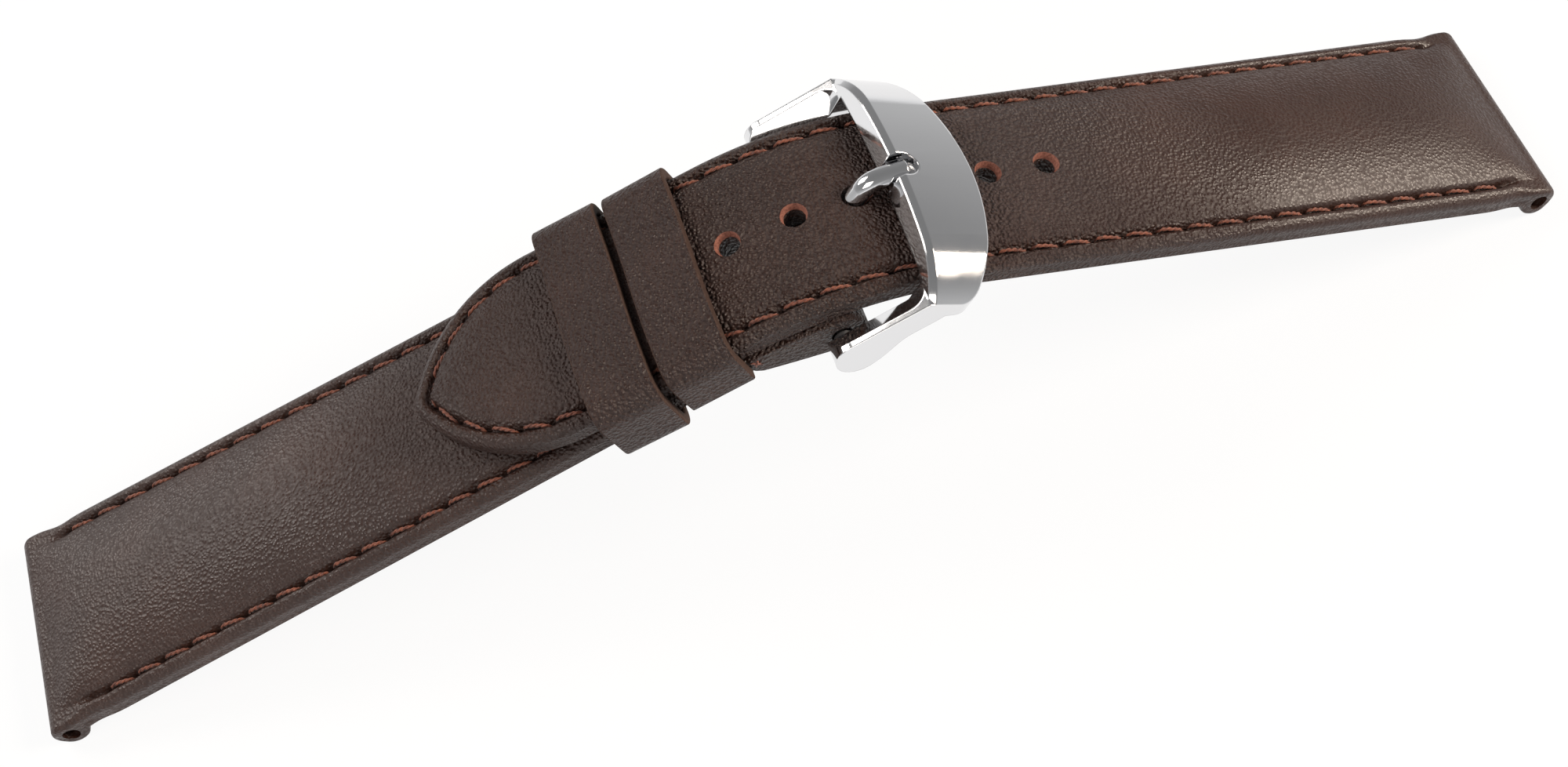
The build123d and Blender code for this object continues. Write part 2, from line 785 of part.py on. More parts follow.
pieces = {
    "short_top_leather": short_top_leather,
    "short_padding": short_padding,
    "short_filler": short_filler,
    "short_lining": short_lining,
    "tail_top_leather": tail_top_leather,
    "tail_padding": tail_padding,
    "tail_filler": tail_filler,
    "tail_lining": tail_lining,
    "fixed_keeper": fixed_keeper,
    "floating_keeper": floating_keeper,
    "buckle_frame": buckle_frame,
    "tongue": tongue,
    "spring_bar_tube": spring_bar_tube,
    "spring_bar_spring": spring_bar_spring,
    "near_plunger": near_plunger,
    "far_plunger": far_plunger,
}
for name, piece in pieces.items():
    piece.part.label = name
    export_step(piece.part, "parts/" + name + ".step")

print("spring bar", spring_bar, "lug axes", short_lug, tail_lug)
print("slopes: short", short_rise, "tip", tip_rise, "tail", -tail_fall)
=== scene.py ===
import bmesh
import bpy
import json
import math
import numpy as np
from mathutils import Matrix, Vector


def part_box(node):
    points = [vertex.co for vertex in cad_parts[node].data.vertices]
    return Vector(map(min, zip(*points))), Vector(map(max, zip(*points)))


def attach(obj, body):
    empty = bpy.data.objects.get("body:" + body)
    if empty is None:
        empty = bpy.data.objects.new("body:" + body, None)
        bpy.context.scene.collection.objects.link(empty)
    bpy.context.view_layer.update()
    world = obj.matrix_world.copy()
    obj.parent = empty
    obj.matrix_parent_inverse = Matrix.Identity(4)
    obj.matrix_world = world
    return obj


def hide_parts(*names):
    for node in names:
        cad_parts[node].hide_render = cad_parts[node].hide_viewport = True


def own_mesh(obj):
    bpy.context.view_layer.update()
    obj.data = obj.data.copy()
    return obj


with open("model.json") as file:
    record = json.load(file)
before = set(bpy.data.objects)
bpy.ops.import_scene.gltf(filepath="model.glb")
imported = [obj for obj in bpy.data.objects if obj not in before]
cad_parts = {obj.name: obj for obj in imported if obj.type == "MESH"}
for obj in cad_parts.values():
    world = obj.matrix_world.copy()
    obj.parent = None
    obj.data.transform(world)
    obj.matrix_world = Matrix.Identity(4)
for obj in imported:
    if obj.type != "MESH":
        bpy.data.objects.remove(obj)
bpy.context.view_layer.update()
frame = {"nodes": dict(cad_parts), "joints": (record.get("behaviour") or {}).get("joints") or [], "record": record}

# A padded leather watch strap, buckled. Sizes are millimetres until mesh_object puts them in metres.
# A place on the leather is a run along the strap, a width across it and a height above its underside.
MM = 0.001

# Sizes of the leather, as the solids have them
LUG_HALF, HALF = 10.0, 9.0  # half widths at the lugs and at the buckle
TAPER = 60.0  # from a lug axis to the buckle width
EDGE = 2.2  # thickness at the turned edges
LAYER_GAP = 0.15
CROWN = 1.7  # rise of the padded middle
TAIL_CROWN, SHORT_CROWN = 0.35, 0.05  # rise left under the buckle, and under the tail's tip
FULL = 25.0  # from a lug axis to where the padding starts to thin
ROLL_R, BORE_R = 1.65, 0.95  # lug roll and its channel
ROLL_UP = EDGE - ROLL_R  # lug axis above the underside
TIP_LENGTH, NOSE = 13.5, 2.0
HOLE_RUN, HOLE_PITCH, HOLE_R = 11.45, 5.4, 1.0  # hole in use, past the start of the bend
HOLES_EACH_WAY = 3

# Stitches
INSET = 1.45  # row from the edge
PITCH = 2.95
TAIL_NEAR, TAIL_FAR, SHORT_NEAR, SHORT_FAR = 4.5, 3.5, 5.4, 4.0  # first needle holes from the lug axes

# Places that the frame gives
mounts = {mount["name"]: mount for mount in frame["record"]["mounts"]}
joints = {joint["name"]: joint for joint in frame["joints"]}
LUG_X, _, LUG_Z = (x / MM for x in mounts["tail_lug_bore"]["pos_m"])
BAR = tuple(joints["frame_hinge"]["pos_m"][axis] / MM for axis in (0, 2))  # spring bar, x and z
BAR_RUN = 6.45  # spring bar past the start of the bend
LOOP_R, LOOP_GAP = 2.3, 0.2  # leather round the spring bar, and its gap to the tail

# Path of the strap. The tail falls at the slope that sets both lug rolls on the floor.
SHORT_LEG, TAIL_LEG, OVERLAP, BEND_R = 70.0, 58.2, 29.6, 28.5
SHORT = math.radians(15.4)  # slope of the buckle half
CREST = math.atan((CROWN - SHORT_CROWN) / (SHORT_LEG - FULL))  # fall of the buckle half's padding
TIP = SHORT - CREST  # slope of the tip, which lies along that padding
tail_arm = BEND_R + ROLL_UP  # from the bend's centre, square to the tail, to the line through its lug axis
climb = (tail_arm - EDGE - LAYER_GAP) * math.cos(SHORT) - SHORT_LEG * math.sin(SHORT)
FALL = math.acos(climb / math.hypot(tail_arm, TAIL_LEG)) - math.atan2(TAIL_LEG, tail_arm)
BEND_RUN = BEND_R * (TIP + FALL)
TAIL_LONG = OVERLAP + BEND_RUN + TAIL_LEG  # from the tip's sharp point to the lug axis
bar_slope = TIP - BAR_RUN / BEND_R
bar_depth = BEND_R - LOOP_R - LOOP_GAP
BEND_C = (BAR[0] + bar_depth * math.sin(bar_slope), BAR[1] - bar_depth * math.cos(bar_slope))
SHORT_BASE = (-LUG_X + ROLL_UP * math.sin(SHORT), LUG_Z - ROLL_UP * math.cos(SHORT))


def on_tail(run, width, height):
    """Points on the tail half, whose run starts where its bend does."""
    run, width, height = (np.asarray(a, float) for a in (run, width, height))
    slope = TIP - np.clip(run, 0, BEND_RUN) / BEND_R
    straight = run - np.clip(run, 0, BEND_RUN)
    x = BEND_C[0] - np.sin(slope) * (BEND_R + height) + straight * np.cos(slope)
    z = BEND_C[1] + np.cos(slope) * (BEND_R + height) + straight * np.sin(slope)
    return np.stack(np.broadcast_arrays(x, width, z), -1)


def from_tip(run, width, height):
    """Points on the tail half, whose run starts at the sharp point of its tip."""
    return on_tail(np.asarray(run, float) - OVERLAP, width, height)


def on_short(run, width, height):
    """Points on the buckle half, whose run starts at its lug axis."""
    run, width, height = (np.asarray(a, float) for a in (run, width, height))
    x = SHORT_BASE[0] + run * math.cos(SHORT) - height * math.sin(SHORT)
    z = SHORT_BASE[1] + run * math.sin(SHORT) + height * math.cos(SHORT)
    return np.stack(np.broadcast_arrays(x, width, z), -1)


def smooth(start, end, x):
    """0 before the start, 1 after the end, and an even slope between them."""
    share = np.clip((np.asarray(x, float) - start) / (end - start), 0, 1)
    return share * share * (3 - 2 * share)


def bump_at(x, centre, width):
    """A rounded bump of height 1."""
    return np.exp(-(((np.asarray(x, float) - centre) / width) ** 2))


def mesh_object(name, points, faces, materials, slots=None, shade=True):
    """A mesh from points in millimetres, its faces turned outwards."""
    mesh = bpy.data.meshes.new(name)
    mesh.from_pydata((np.asarray(points, float).reshape(-1, 3) * MM).tolist(), [], faces)
    for material in materials:
        mesh.materials.append(material)
    if slots is not None:
        mesh.polygons.foreach_set("material_index", np.asarray(slots, np.int32))
    mesh.validate()
    turned = bmesh.new()
    turned.from_mesh(mesh)
    bmesh.ops.recalc_face_normals(turned, faces=turned.faces)
    turned.to_mesh(mesh)
    turned.free()
    if shade:
        mesh.shade_smooth()
    piece = bpy.data.objects.new(name, mesh)
    bpy.context.scene.collection.objects.link(piece)
    return piece


def grid_faces(rows, columns, close_rows=False, close_columns=False, base=0):
    """Quads between rows of points."""
    faces = []
    for row in range(rows if close_rows else rows - 1):
        here, beyond = base + row * columns, base + ((row + 1) % rows) * columns
        for column in range(columns if close_columns else columns - 1):
            beside = (column + 1) % columns
            faces.append((here + column, here + beside, beyond + beside, beyond + column))
    return faces


def end_caps(rows, columns, base=0):
    """Faces over the first and the last row of a closed grid."""
    last = base + (rows - 1) * columns
    return [tuple(range(base, base + columns))[::-1], tuple(range(last, last + columns))]


def unit(vectors):
    return vectors / np.linalg.norm(vectors, axis=-1, keepdims=True)


def length_along(points):
    """Length from the first of a row of points to each of them."""
    return np.concatenate([[0], np.cumsum(np.linalg.norm(np.diff(points, axis=0), axis=1))])


# Materials


def new_material(name):
    """A material with a bare shader, its node tree and that shader."""
    material = bpy.data.materials.new(name)
    material.use_nodes = True
    tree = material.node_tree
    tree.nodes.clear()
    out = tree.nodes.new("ShaderNodeOutputMaterial")
    shader = tree.nodes.new("ShaderNodeBsdfPrincipled")
    tree.links.new(shader.outputs[0], out.inputs[0])
    return material, tree, shader


def node(tree, kind, **values):
    """A node with its named inputs or settings filled in."""
    made = tree.nodes.new(kind)
    for key, value in values.items():
        name = key.replace("_", " ")
        if name in made.inputs:
            made.inputs[name].default_value = value
        else:
            setattr(made, key, value)
    return made


def place_noise(tree, scale, detail=3.0, roughness=0.55):
    """Noise fixed to the object, in cells per metre."""
    places = node(tree, "ShaderNodeTexCoord")
    noise = node(tree, "ShaderNodeTexNoise", Scale=scale, Detail=detail, Roughness=roughness)
    tree.links.new(places.outputs["Object"], noise.inputs["Vector"])
    return noise


def map_range(tree, source, from_min, from_max, to_min=0.0, to_max=1.0):
    ends = {"From_Min": from_min, "From_Max": from_max, "To_Min": to_min, "To_Max": to_max}
    mapped = node(tree, "ShaderNodeMapRange", **ends)
    tree.links.new(source, mapped.inputs["Value"])
    return mapped.outputs["Result"]


def math_node(tree, operation, first, second):
    """Result of an operation on two values, each a number or a socket."""
    made = node(tree, "ShaderNodeMath", operation=operation)
    for socket, value in zip(made.inputs, (first, second)):
        if isinstance(value, float):
            socket.default_value = value
        else:
            tree.links.new(value, socket)
    return made.outputs[0]


def two_tone(tree, shader, factor, dark, light):
    mix = node(tree, "ShaderNodeMix", data_type="RGBA", A=(*dark, 1), B=(*light, 1))
    tree.links.new(factor, mix.inputs["Factor"])
    tree.links.new(mix.outputs["Result"], shader.inputs["Base Color"])


def relief(tree, shader, height, strength, distance):
    """Bump from a height, whose strength is a number or a socket."""
    bump = node(tree, "ShaderNodeBump", Distance=distance)
    if isinstance(strength, float):
        bump.inputs["Strength"].default_value = strength
    else:
        tree.links.new(strength, bump.inputs["Strength"])
    tree.links.new(height, bump.inputs["Height"])
    tree.links.new(bump.outputs[0], shader.inputs["Normal"])


WARP_SCALE, WARP = 900.0, 0.0003  # cells per metre, and metres that the grain cells are shifted by
PORE_SCALE, PORE_SHARE = 2.6, 0.25  # against the grain cells
FOLD_SCALE, FOLD_SHARE = 0.32, 0.12
CALM_LEFT, CALM_RIGHT = (-0.044, -0.004), (0.046, 0.018)  # x where the grain is calm, and where it is full
# painted shade: share by which the valleys between the grain cells are darkened
VALLEY_PAINTED_SHADE = 0.45


def grain_strength(tree, calm):
    """The grain lies flatter towards the lug ends, where the padding stretches the skin."""
    places = node(tree, "ShaderNodeTexCoord")
    apart = node(tree, "ShaderNodeSeparateXYZ")
    tree.links.new(places.outputs["Object"], apart.inputs[0])
    left = map_range(tree, apart.outputs["X"], *CALM_LEFT, calm[0], 1.0)
    right = map_range(tree, apart.outputs["X"], *CALM_RIGHT[::-1], 1.0, calm[1])
    return math_node(tree, "MINIMUM", left, right)


def leather(
    name, dark, light, grain=3400.0, depth=0.00044, gloss=(0.17, 0.56), specular=0.46, calm=(0.3, 0.18)
):
    """Pebbled leather: rounded grain cells, finer pores, slow changes of tone and gloss, and painted shade that
    darkens the valleys between the cells. Grain is in cells per metre, depth in metres, and calm is the grain's
    strength at the two lug ends."""
    material, tree, shader = new_material(name)
    places = node(tree, "ShaderNodeTexCoord")
    warp = place_noise(tree, WARP_SCALE, 2.0)
    shift = node(tree, "ShaderNodeVectorMath", operation="MULTIPLY_ADD")
    shift.inputs[1].default_value = (WARP, WARP, WARP)
    tree.links.new(warp.outputs["Color"], shift.inputs[0])
    tree.links.new(places.outputs["Object"], shift.inputs[2])
    cells = node(tree, "ShaderNodeTexVoronoi", feature="SMOOTH_F1", Scale=grain, Smoothness=0.45)
    tree.links.new(shift.outputs[0], cells.inputs["Vector"])
    pores = place_noise(tree, grain * PORE_SCALE, 3.0, 0.6)
    folds = place_noise(tree, grain * FOLD_SCALE, 2.0, 0.5)
    height = math_node(tree, "MULTIPLY", cells.outputs["Distance"], -1.0)
    for finer, share in ((pores, PORE_SHARE), (folds, FOLD_SHARE)):
        height = math_node(tree, "ADD", height, math_node(tree, "MULTIPLY", finer.outputs["Fac"], share))
    relief(tree, shader, height, grain_strength(tree, calm), depth)
    tone = map_range(tree, place_noise(tree, 90.0).outputs["Fac"], 0.35, 0.68)
    # Painted shade: the tone is darkened in the valleys between the grain cells
    valley_shade = map_range(tree, cells.outputs["Distance"], 0.25, 0.75, 0.0, VALLEY_PAINTED_SHADE)
    two_tone(tree, shader, math_node(tree, "SUBTRACT", tone, valley_shade), dark, light)
    roughness = map_range(tree, cells.outputs["Distance"], 0.0, 0.75, *gloss)
    tree.links.new(roughness, shader.inputs["Roughness"])
    shader.inputs["Specular IOR Level"].default_value = specular
    return material


def raw_leather(name, dark, light, scale=5200.0):
    """Cut leather: fibrous and dull."""
    material, tree, shader = new_material(name)
    fibres = place_noise(tree, scale, 4.0, 0.7)
    two_tone(tree, shader, map_range(tree, fibres.outputs["Fac"], 0.35, 0.65), dark, light)
    relief(tree, shader, fibres.outputs["Fac"], 0.6, 0.00008)
    shader.inputs["Roughness"].default_value = 0.85
    shader.inputs["Specular IOR Level"].default_value = 0.2
    return material


def thread_material(name, dark, light):
    """Waxed thread, with a tone for each few fibres."""
    material, tree, shader = new_material(name)
    tone = map_range(tree, place_noise(tree, 2600.0).outputs["Fac"], 0.35, 0.65)
    two_tone(tree, shader, tone, dark, light)
    relief(tree, shader, place_noise(tree, 14000.0, 2.0).outputs["Fac"], 0.6, 0.00005)
    shader.inputs["Roughness"].default_value = 0.5
    shader.inputs["Specular IOR Level"].default_value = 0.4
    shader.inputs["Sheen Weight"].default_value = 0.2
    return material


def steel(name, colour, rough, wear=0.03, edge=0.0002):
    """Steel with soft edges and the faintest wear."""
    material, tree, shader = new_material(name)
    worn = map_range(tree, place_noise(tree, 900.0).outputs["Fac"], 0.3, 0.7, rough, rough + wear)
    tree.links.new(worn, shader.inputs["Roughness"])
    soft = node(tree, "ShaderNodeBevel", samples=8, Radius=edge)
    tree.links.new(soft.outputs[0], shader.inputs["Normal"])
    shader.inputs["Base Color"].default_value = (*colour, 1)
    shader.inputs["Metallic"].default_value = 1.0
    return material


SKIN = leather("strap_leather", (0.0265, 0.0106, 0.0071), (0.0435, 0.0188, 0.0128))
KEEPER = leather(
    "keeper_leather",
    (0.027, 0.0112, 0.0079),
    (0.043, 0.0192, 0.0138),
    grain=3200.0,
    depth=0.00047,
    gloss=(0.17, 0.54),
    specular=0.4,
)
LINING = leather(
    "lining_leather",
    (0.090, 0.043, 0.024),
    (0.135, 0.070, 0.040),
    grain=4200.0,
    depth=0.00006,
    gloss=(0.5, 0.65),
    specular=0.35,
    calm=(1.0, 1.0),
)
RAW = raw_leather("raw_leather", (0.15, 0.056, 0.040), (0.36, 0.155, 0.112))
CUT = raw_leather("cut_edge", (0.036, 0.020, 0.015), (0.074, 0.044, 0.034))
THREAD = thread_material("rust_thread", (0.085, 0.023, 0.013), (0.25, 0.074, 0.038))
STEEL = steel("polished_steel", (0.78, 0.78, 0.79), 0.07)
DULL = steel("turned_steel", (0.56, 0.56, 0.57), 0.28, 0.1, 0.00005)
WIRE = steel("spring_wire", (0.45, 0.44, 0.43), 0.32, 0.1, 0.00002)

# Outlines of the halves

BOW = (TIP_LENGTH**2 + HALF**2) / (2 * HALF)  # radius of the pointed tip's two sides
BOW_C = HALF - BOW
NOSE_C = TIP_LENGTH - math.sqrt((BOW - NOSE) ** 2 - BOW_C**2)  # nose's circle, inside both sides
TOUCH = math.atan2(-BOW_C, NOSE_C - TIP_LENGTH)  # where the circle meets a side
NOSE_END = TIP_LENGTH + BOW * math.cos(TOUCH)
NECK_IN, NECK_AT, NECK_LONG = 0.20, 2.9, 1.5  # leather drawn in behind the roll
ROLL_IN = 0.35  # softness of the roll's ends
RISE_RUN, RISE_POWER = 4.4, 1.25  # how quickly the crown rises behind the roll


def tip_half(run):
    """Half width of the tail at a run from the tip's sharp point, with its rounded nose."""
    run = np.asarray(run, float)
    nose = np.sqrt(np.clip(NOSE**2 - (run - NOSE_C) ** 2, 0, None))
    side = BOW_C + np.sqrt(np.clip(BOW**2 - (np.minimum(run, TIP_LENGTH) - TIP_LENGTH) ** 2, 0, None))
    return np.where(run < NOSE_END, nose, side)


def tip_outline(inset):
    """Places on one side of the tip, from its nose to its full width, moved in by an inset."""
    nose = [(NOSE_C, 0, NOSE - inset, turn) for turn in np.linspace(math.pi, TOUCH, 40)]
    side = [(TIP_LENGTH, BOW_C, BOW - inset, turn) for turn in np.linspace(TOUCH, math.pi / 2, 160)[1:]]
    return np.array([(x + r * math.cos(turn), y + r * math.sin(turn)) for x, y, r, turn in nose + side])


def lug_half(back):
    """Half width at a distance from a lug axis: tapered, drawn in behind the roll, with soft roll ends."""
    back = np.asarray(back, float)
    tapered = LUG_HALF - (LUG_HALF - HALF) * np.clip(back / TAPER, 0, 1)
    neck = NECK_IN * bump_at(back, NECK_AT, NECK_LONG)
    roll = ROLL_IN * np.clip(-back / ROLL_R, 0, 1) ** 3
    return tapered - neck - roll


def lug_crown(back, length, flat):
    """Rise of the padded middle, from the roll to the buckle."""
    back = np.asarray(back, float)
    rise = CROWN * (1 - np.exp(-((np.clip(back, 0, None) / RISE_RUN) ** RISE_POWER)))
    return np.minimum(rise, CROWN + (flat - CROWN) * np.clip((back - FULL) / (length - FULL), 0, 1))


def lug_ring(back, side):
    """Height of the roll's upper or lower side."""
    return ROLL_UP + side * np.sqrt(np.clip(ROLL_R**2 - np.asarray(back, float) ** 2, 0, None))


def lug_low(back):
    return np.where(np.abs(back) < ROLL_R, np.minimum(0, lug_ring(back, -1)), 0.0)


def lug_top(back):
    return np.where(back < 0, lug_ring(back, 1), EDGE)


# Padded skin of a half

ROUND, ROUND_LUG = 0.8, 0.45  # turned edge, and the same at the lug
ROUND_GROWS = (0.5, 3.5)  # from a lug axis
ROUND_SHARE = 0.45  # most of the thickness that it takes up
# Places in from the edge: close together over the turned edge and the stitches
edge_in = [ROUND * (1 - math.cos(turn)) for turn in np.linspace(0, math.pi / 2, 9)]
row_in = [0.9, 1.0, 1.1, 1.19, 1.27, 1.34, 1.4, 1.46, 1.52, 1.59, 1.67, 1.77, 1.9, 2.06, 2.25, 2.48]
ACROSS = np.array(edge_in + row_in + list(np.linspace(2.78, HALF, 20)))
WALL = np.array([0.12, 0.32, 0.5, 0.62, 0.7, 0.78, 0.9])  # shares down the side
# Places in from the edge on the underside
UNDER = np.array([0.02, 0.1, 0.3, 0.6, 0.85, 0.95, 1.05, 1.3, 1.5, 1.7, 2.4, 4.0, 6.0, HALF])
LINED = 5  # place in UNDER where the lining starts
SKIN_SLOT, LINING_SLOT, RAW_SLOT = range(3)

GROOVE_DEEP, GROOVE_WIDE = 0.5, 0.27  # groove that the stitches lie in
BEAD_RISE, BEAD_IN, BEAD_WIDE = 0.08, 0.8, 0.3  # bead between the groove and the edge
PAD_POWER = 2.35  # fullness of the padded crown
FLAT_POWER, FLAT_WIDE = 2.2, 2.4  # steepness and width of the rise to a flat middle
GROOVE_LIP = (-0.1, 0.25)  # the crown starts to rise here, from the stitches
NEEDLE_HOLE = (0.32, 0.26, 0.22)  # depth, and half sizes along and across the strap
PUCKER = (0.07, 0.35, 0.75)  # skin that the thread gathers beside a needle hole
NEEDLE_REACH = 1.0
THINNEST = 0.02
WALL_SHARE = 0.98
SEAM_DEEP, SEAM_UP, SEAM_WIDE = 0.09, 0.8, 0.09  # seam round the edge, over the lining
SEAM_FADE = (1.0, 1.8)  # thickness of the strap where the seam starts to show, and where it is full
HOLLOW, HOLLOW_FADE = 0.06, (0.6, 1.6)  # side drawn in between top and underside, likewise
NARROW_FADE = (0.0, 1.2)  # half width where seam and hollow start, and where they are full
UNDER_ROUND, UNDER_TURN = 0.28, 0.3  # rounding of the lower edge, up and in
LINING_DEEP, LINING_IN, LINING_WIDE = 0.07, 0.9, 0.07  # step at the lining's edge
UNDER_DEEP, UNDER_IN, UNDER_WIDE = 0.22, 1.5, 0.22  # groove of the stitches below
FADE_START, FADE_END = 1.8, 3.8  # the grooves fade in here, from a lug axis


def top_height(distance, top, crown, depth, edge, half):
    """Height of the top at a distance from the outline: turned edge, bead, stitch groove and padding."""
    turned = np.clip(distance, 0, edge)
    height = top - edge + np.sqrt(np.clip(edge * edge - (edge - turned) ** 2, 0, None))
    height = height + BEAD_RISE * depth * bump_at(distance, BEAD_IN, BEAD_WIDE)
    height = height - GROOVE_DEEP * depth * bump_at(distance, INSET, GROOVE_WIDE)
    inner = distance - INSET
    padded = 1 - (1 - np.clip(inner / np.maximum(half - INSET, 0.5), 0, 1)) ** PAD_POWER
    flat = 1 - (1 - np.clip(inner / FLAT_WIDE, 0, 1)) ** FLAT_POWER
    share = np.clip(crown - TAIL_CROWN, 0, 1)
    return height + crown * (share * padded + (1 - share) * flat) * smooth(*GROOVE_LIP, inner)


def press_needles(heights, runs, widths, depth, needles, side):
    """Presses one side's needle holes into the top, with the puckers beside them."""
    for run, width in needles:
        near = np.abs(runs[:, 0] - run) < NEEDLE_REACH
        if width * side < 0 or not near.any():
            continue
        away, aside = runs[near] - run, widths[near] - abs(width)
        for deep, long, wide in (NEEDLE_HOLE, PUCKER):
            heights[near] -= deep * depth[near] * np.exp(-((away / long) ** 2 + (aside / wide) ** 2))


def side_wall(wall_top, low, half):
    """Heights and widths down the side of the strap."""
    span = wall_top - low
    heights = wall_top - span * WALL * WALL_SHARE
    seam = SEAM_DEEP * bump_at(heights - low, SEAM_UP, SEAM_WIDE) * smooth(*SEAM_FADE, span)
    hollow = HOLLOW * np.sin(np.pi * WALL) * smooth(*HOLLOW_FADE, span)
    return heights, half - (seam + hollow) * smooth(*NARROW_FADE, half)


def underside(wall_top, low, half, depth):
    """Heights and widths from the lower edge to the middle of the underside."""
    turned = (1 - np.clip(UNDER / UNDER_TURN, 0, 1)) ** 2
    heights = low + UNDER_ROUND * (1 - np.sqrt(1 - turned))
    lining = LINING_DEEP * bump_at(UNDER, LINING_IN, LINING_WIDE)
    heights = heights + (lining + UNDER_DEEP * bump_at(UNDER, UNDER_IN, UNDER_WIDE)) * depth
    return np.minimum(heights, wall_top - THINNEST / 2), half * (1 - UNDER / HALF)


def strap_body(name, lay, runs, half, low, top, crown, edge, distance_of, needles, back):
    """One half of the strap as a closed skin: sections across it, one after another along it.
    Each section has a run, a distance back from its lug axis, a half width, heights and an edge radius."""
    sections = (runs, half, low, top, crown, edge, smooth(FADE_START, FADE_END, back))
    runs, half, low, top, crown, edge, depth = (values[:, None] for values in sections)
    top_widths = half * (1 - ACROSS / HALF)
    top_runs = np.broadcast_to(runs, top_widths.shape)
    plain = top_height(distance_of(top_runs, top_widths, half), top, crown, depth, edge, half)
    sides = []
    for side in (1, -1):
        pressed = plain.copy()
        press_needles(pressed, top_runs, top_widths, depth, needles, side)
        pressed = np.maximum(pressed, low + THINNEST)
        wall_heights, wall_widths = side_wall(pressed[:, :1], low, half)
        under_heights, under_widths = underside(pressed[:, :1], low, half, depth)
        heights = np.concatenate([pressed[:, ::-1], wall_heights, under_heights], 1)
        widths = side * np.concatenate([top_widths[:, ::-1], wall_widths, under_widths], 1)
        sides.append((heights, widths))
    heights, widths = (np.concatenate([far[:, :-1], near[:, :0:-1]], 1) for far, near in zip(*sides))
    rows, columns = heights.shape
    points = lay(np.broadcast_to(runs, heights.shape), widths, heights)
    lined = len(ACROSS) + len(WALL) + LINED
    slots = []
    for column in range(columns):
        inside = min(column, columns - column, column + 1, columns - column - 1) >= lined
        slots.append(LINING_SLOT if inside else SKIN_SLOT)
    faces = grid_faces(rows, columns, close_columns=True) + end_caps(rows, columns)
    return mesh_object(name, points, faces, [SKIN, LINING, RAW], slots * (rows - 1) + [SKIN_SLOT] * 2)


# Holes and channels cut through a skin

CUT_SIDES = 40
CUT_WIDE = 12.0  # lug cutters reach this far from the middle
LUG_FLAT = 0.8  # lug channels lie a little flattened
RIM_WEAR, RIM_DEEP = 0.4, 1.1  # punched holes widen towards their rims
SKIN_ANGLE = 52  # degrees, past which a cut skin has a sharp edge
RAW_DEEP, RAW_REACH, RAW_SPARE = 0.75, 1.35, 0.3  # raw leather down a hole's wall, and out from its axis


def rod(start, end, radius, squash=1.0, worn=0.0, worn_from=1.0):
    """A closed cylinder between two points, which cuts a hole.
    It widens by worn, from worn_from before its end."""
    start, end = np.array(start, float), np.array(end, float)
    along = unit(end - start)
    aside = np.array([0.0, 1.0, 0.0]) if abs(along[1]) < 0.9 else np.array([1.0, 0.0, 0.0])
    first = unit(np.cross(along, aside))
    second = np.cross(along, first)
    turns = np.linspace(0, 2 * np.pi, CUT_SIDES, endpoint=False)[:, None]
    ring = np.cos(turns) * first + squash * np.sin(turns) * second
    rings = [start + radius * ring, end - worn_from * along + radius * ring, end + (radius + worn) * ring]
    faces = grid_faces(len(rings), CUT_SIDES, close_columns=True) + end_caps(len(rings), CUT_SIDES)
    return mesh_object("cutter", np.concatenate(rings), faces, [], shade=False)


def punch(skin, cutters):
    """Cuts the holes and the lug's channel through a skin."""
    for cutter in cutters:
        cut = skin.modifiers.new("cut", "BOOLEAN")
        cut.operation = "DIFFERENCE"
        cut.solver = "EXACT"
        cut.object = cutter
    graph = bpy.context.evaluated_depsgraph_get()
    done = bpy.data.meshes.new_from_object(skin.evaluated_get(graph))
    skin.modifiers.clear()
    skin.data = done
    done.set_sharp_from_angle(angle=math.radians(SKIN_ANGLE))
    for cutter in cutters:
        bpy.data.objects.remove(cutter)


def raw_rims(skin, rims):
    """Gives the walls of the punched holes their raw leather. Each rim is a point and a direction."""
    polygons = skin.data.polygons
    count = len(polygons)
    centres, normals, slots = np.empty(count * 3), np.empty(count * 3), np.empty(count, np.int32)
    polygons.foreach_get("center", centres)
    polygons.foreach_get("normal", normals)
    polygons.foreach_get("material_index", slots)
    centres, normals = centres.reshape(-1, 3) / MM, normals.reshape(-1, 3)
    for rim, up in rims:
        height = (centres - rim) @ up
        out = np.linalg.norm(centres - rim - height[:, None] * up, axis=1)
        level = np.abs(height + RAW_DEEP / 2) < RAW_DEEP / 2 + RAW_SPARE
        slots[(out < RAW_REACH) & level & (normals @ up < 0.8)] = RAW_SLOT
    polygons.foreach_set("material_index", slots)
    skin.data.update()


def lug_bore(side):
    """Cutter for a lug's channel."""
    ends = [(side * LUG_X, width, LUG_Z) for width in (-CUT_WIDE, CUT_WIDE)]
    return rod(*ends, BORE_R, LUG_FLAT)


# Stitches

PLY_TURN = 1.05  # length in which the two plies go round each other
PLY_OUT, PLY_FLAT, PLY_R, PLY_SIDES = 0.085, 0.75, 0.115, 7
PLY_END, PLY_POWER = 0.45, 0.35  # thinness of a stitch's ends, and how soon it is full
PLY_SHIFT = 0.9  # each stitch's twist starts this much further on, in radians
STITCH_STEPS, STITCH_LEAN = 15, 0.13
STITCH_START, STITCH_SHARE = 0.08, 0.84  # share of the way between two needle holes
STITCH_RISE = 0.08  # middle of a stitch
STITCH_DIVE, DIVE_POWER = 0.42, 6  # its ends, down the needle holes
ROW_TOP, ROW_UNDER = EDGE - 0.2, 0.12  # heights of the rows, each sunk in its groove


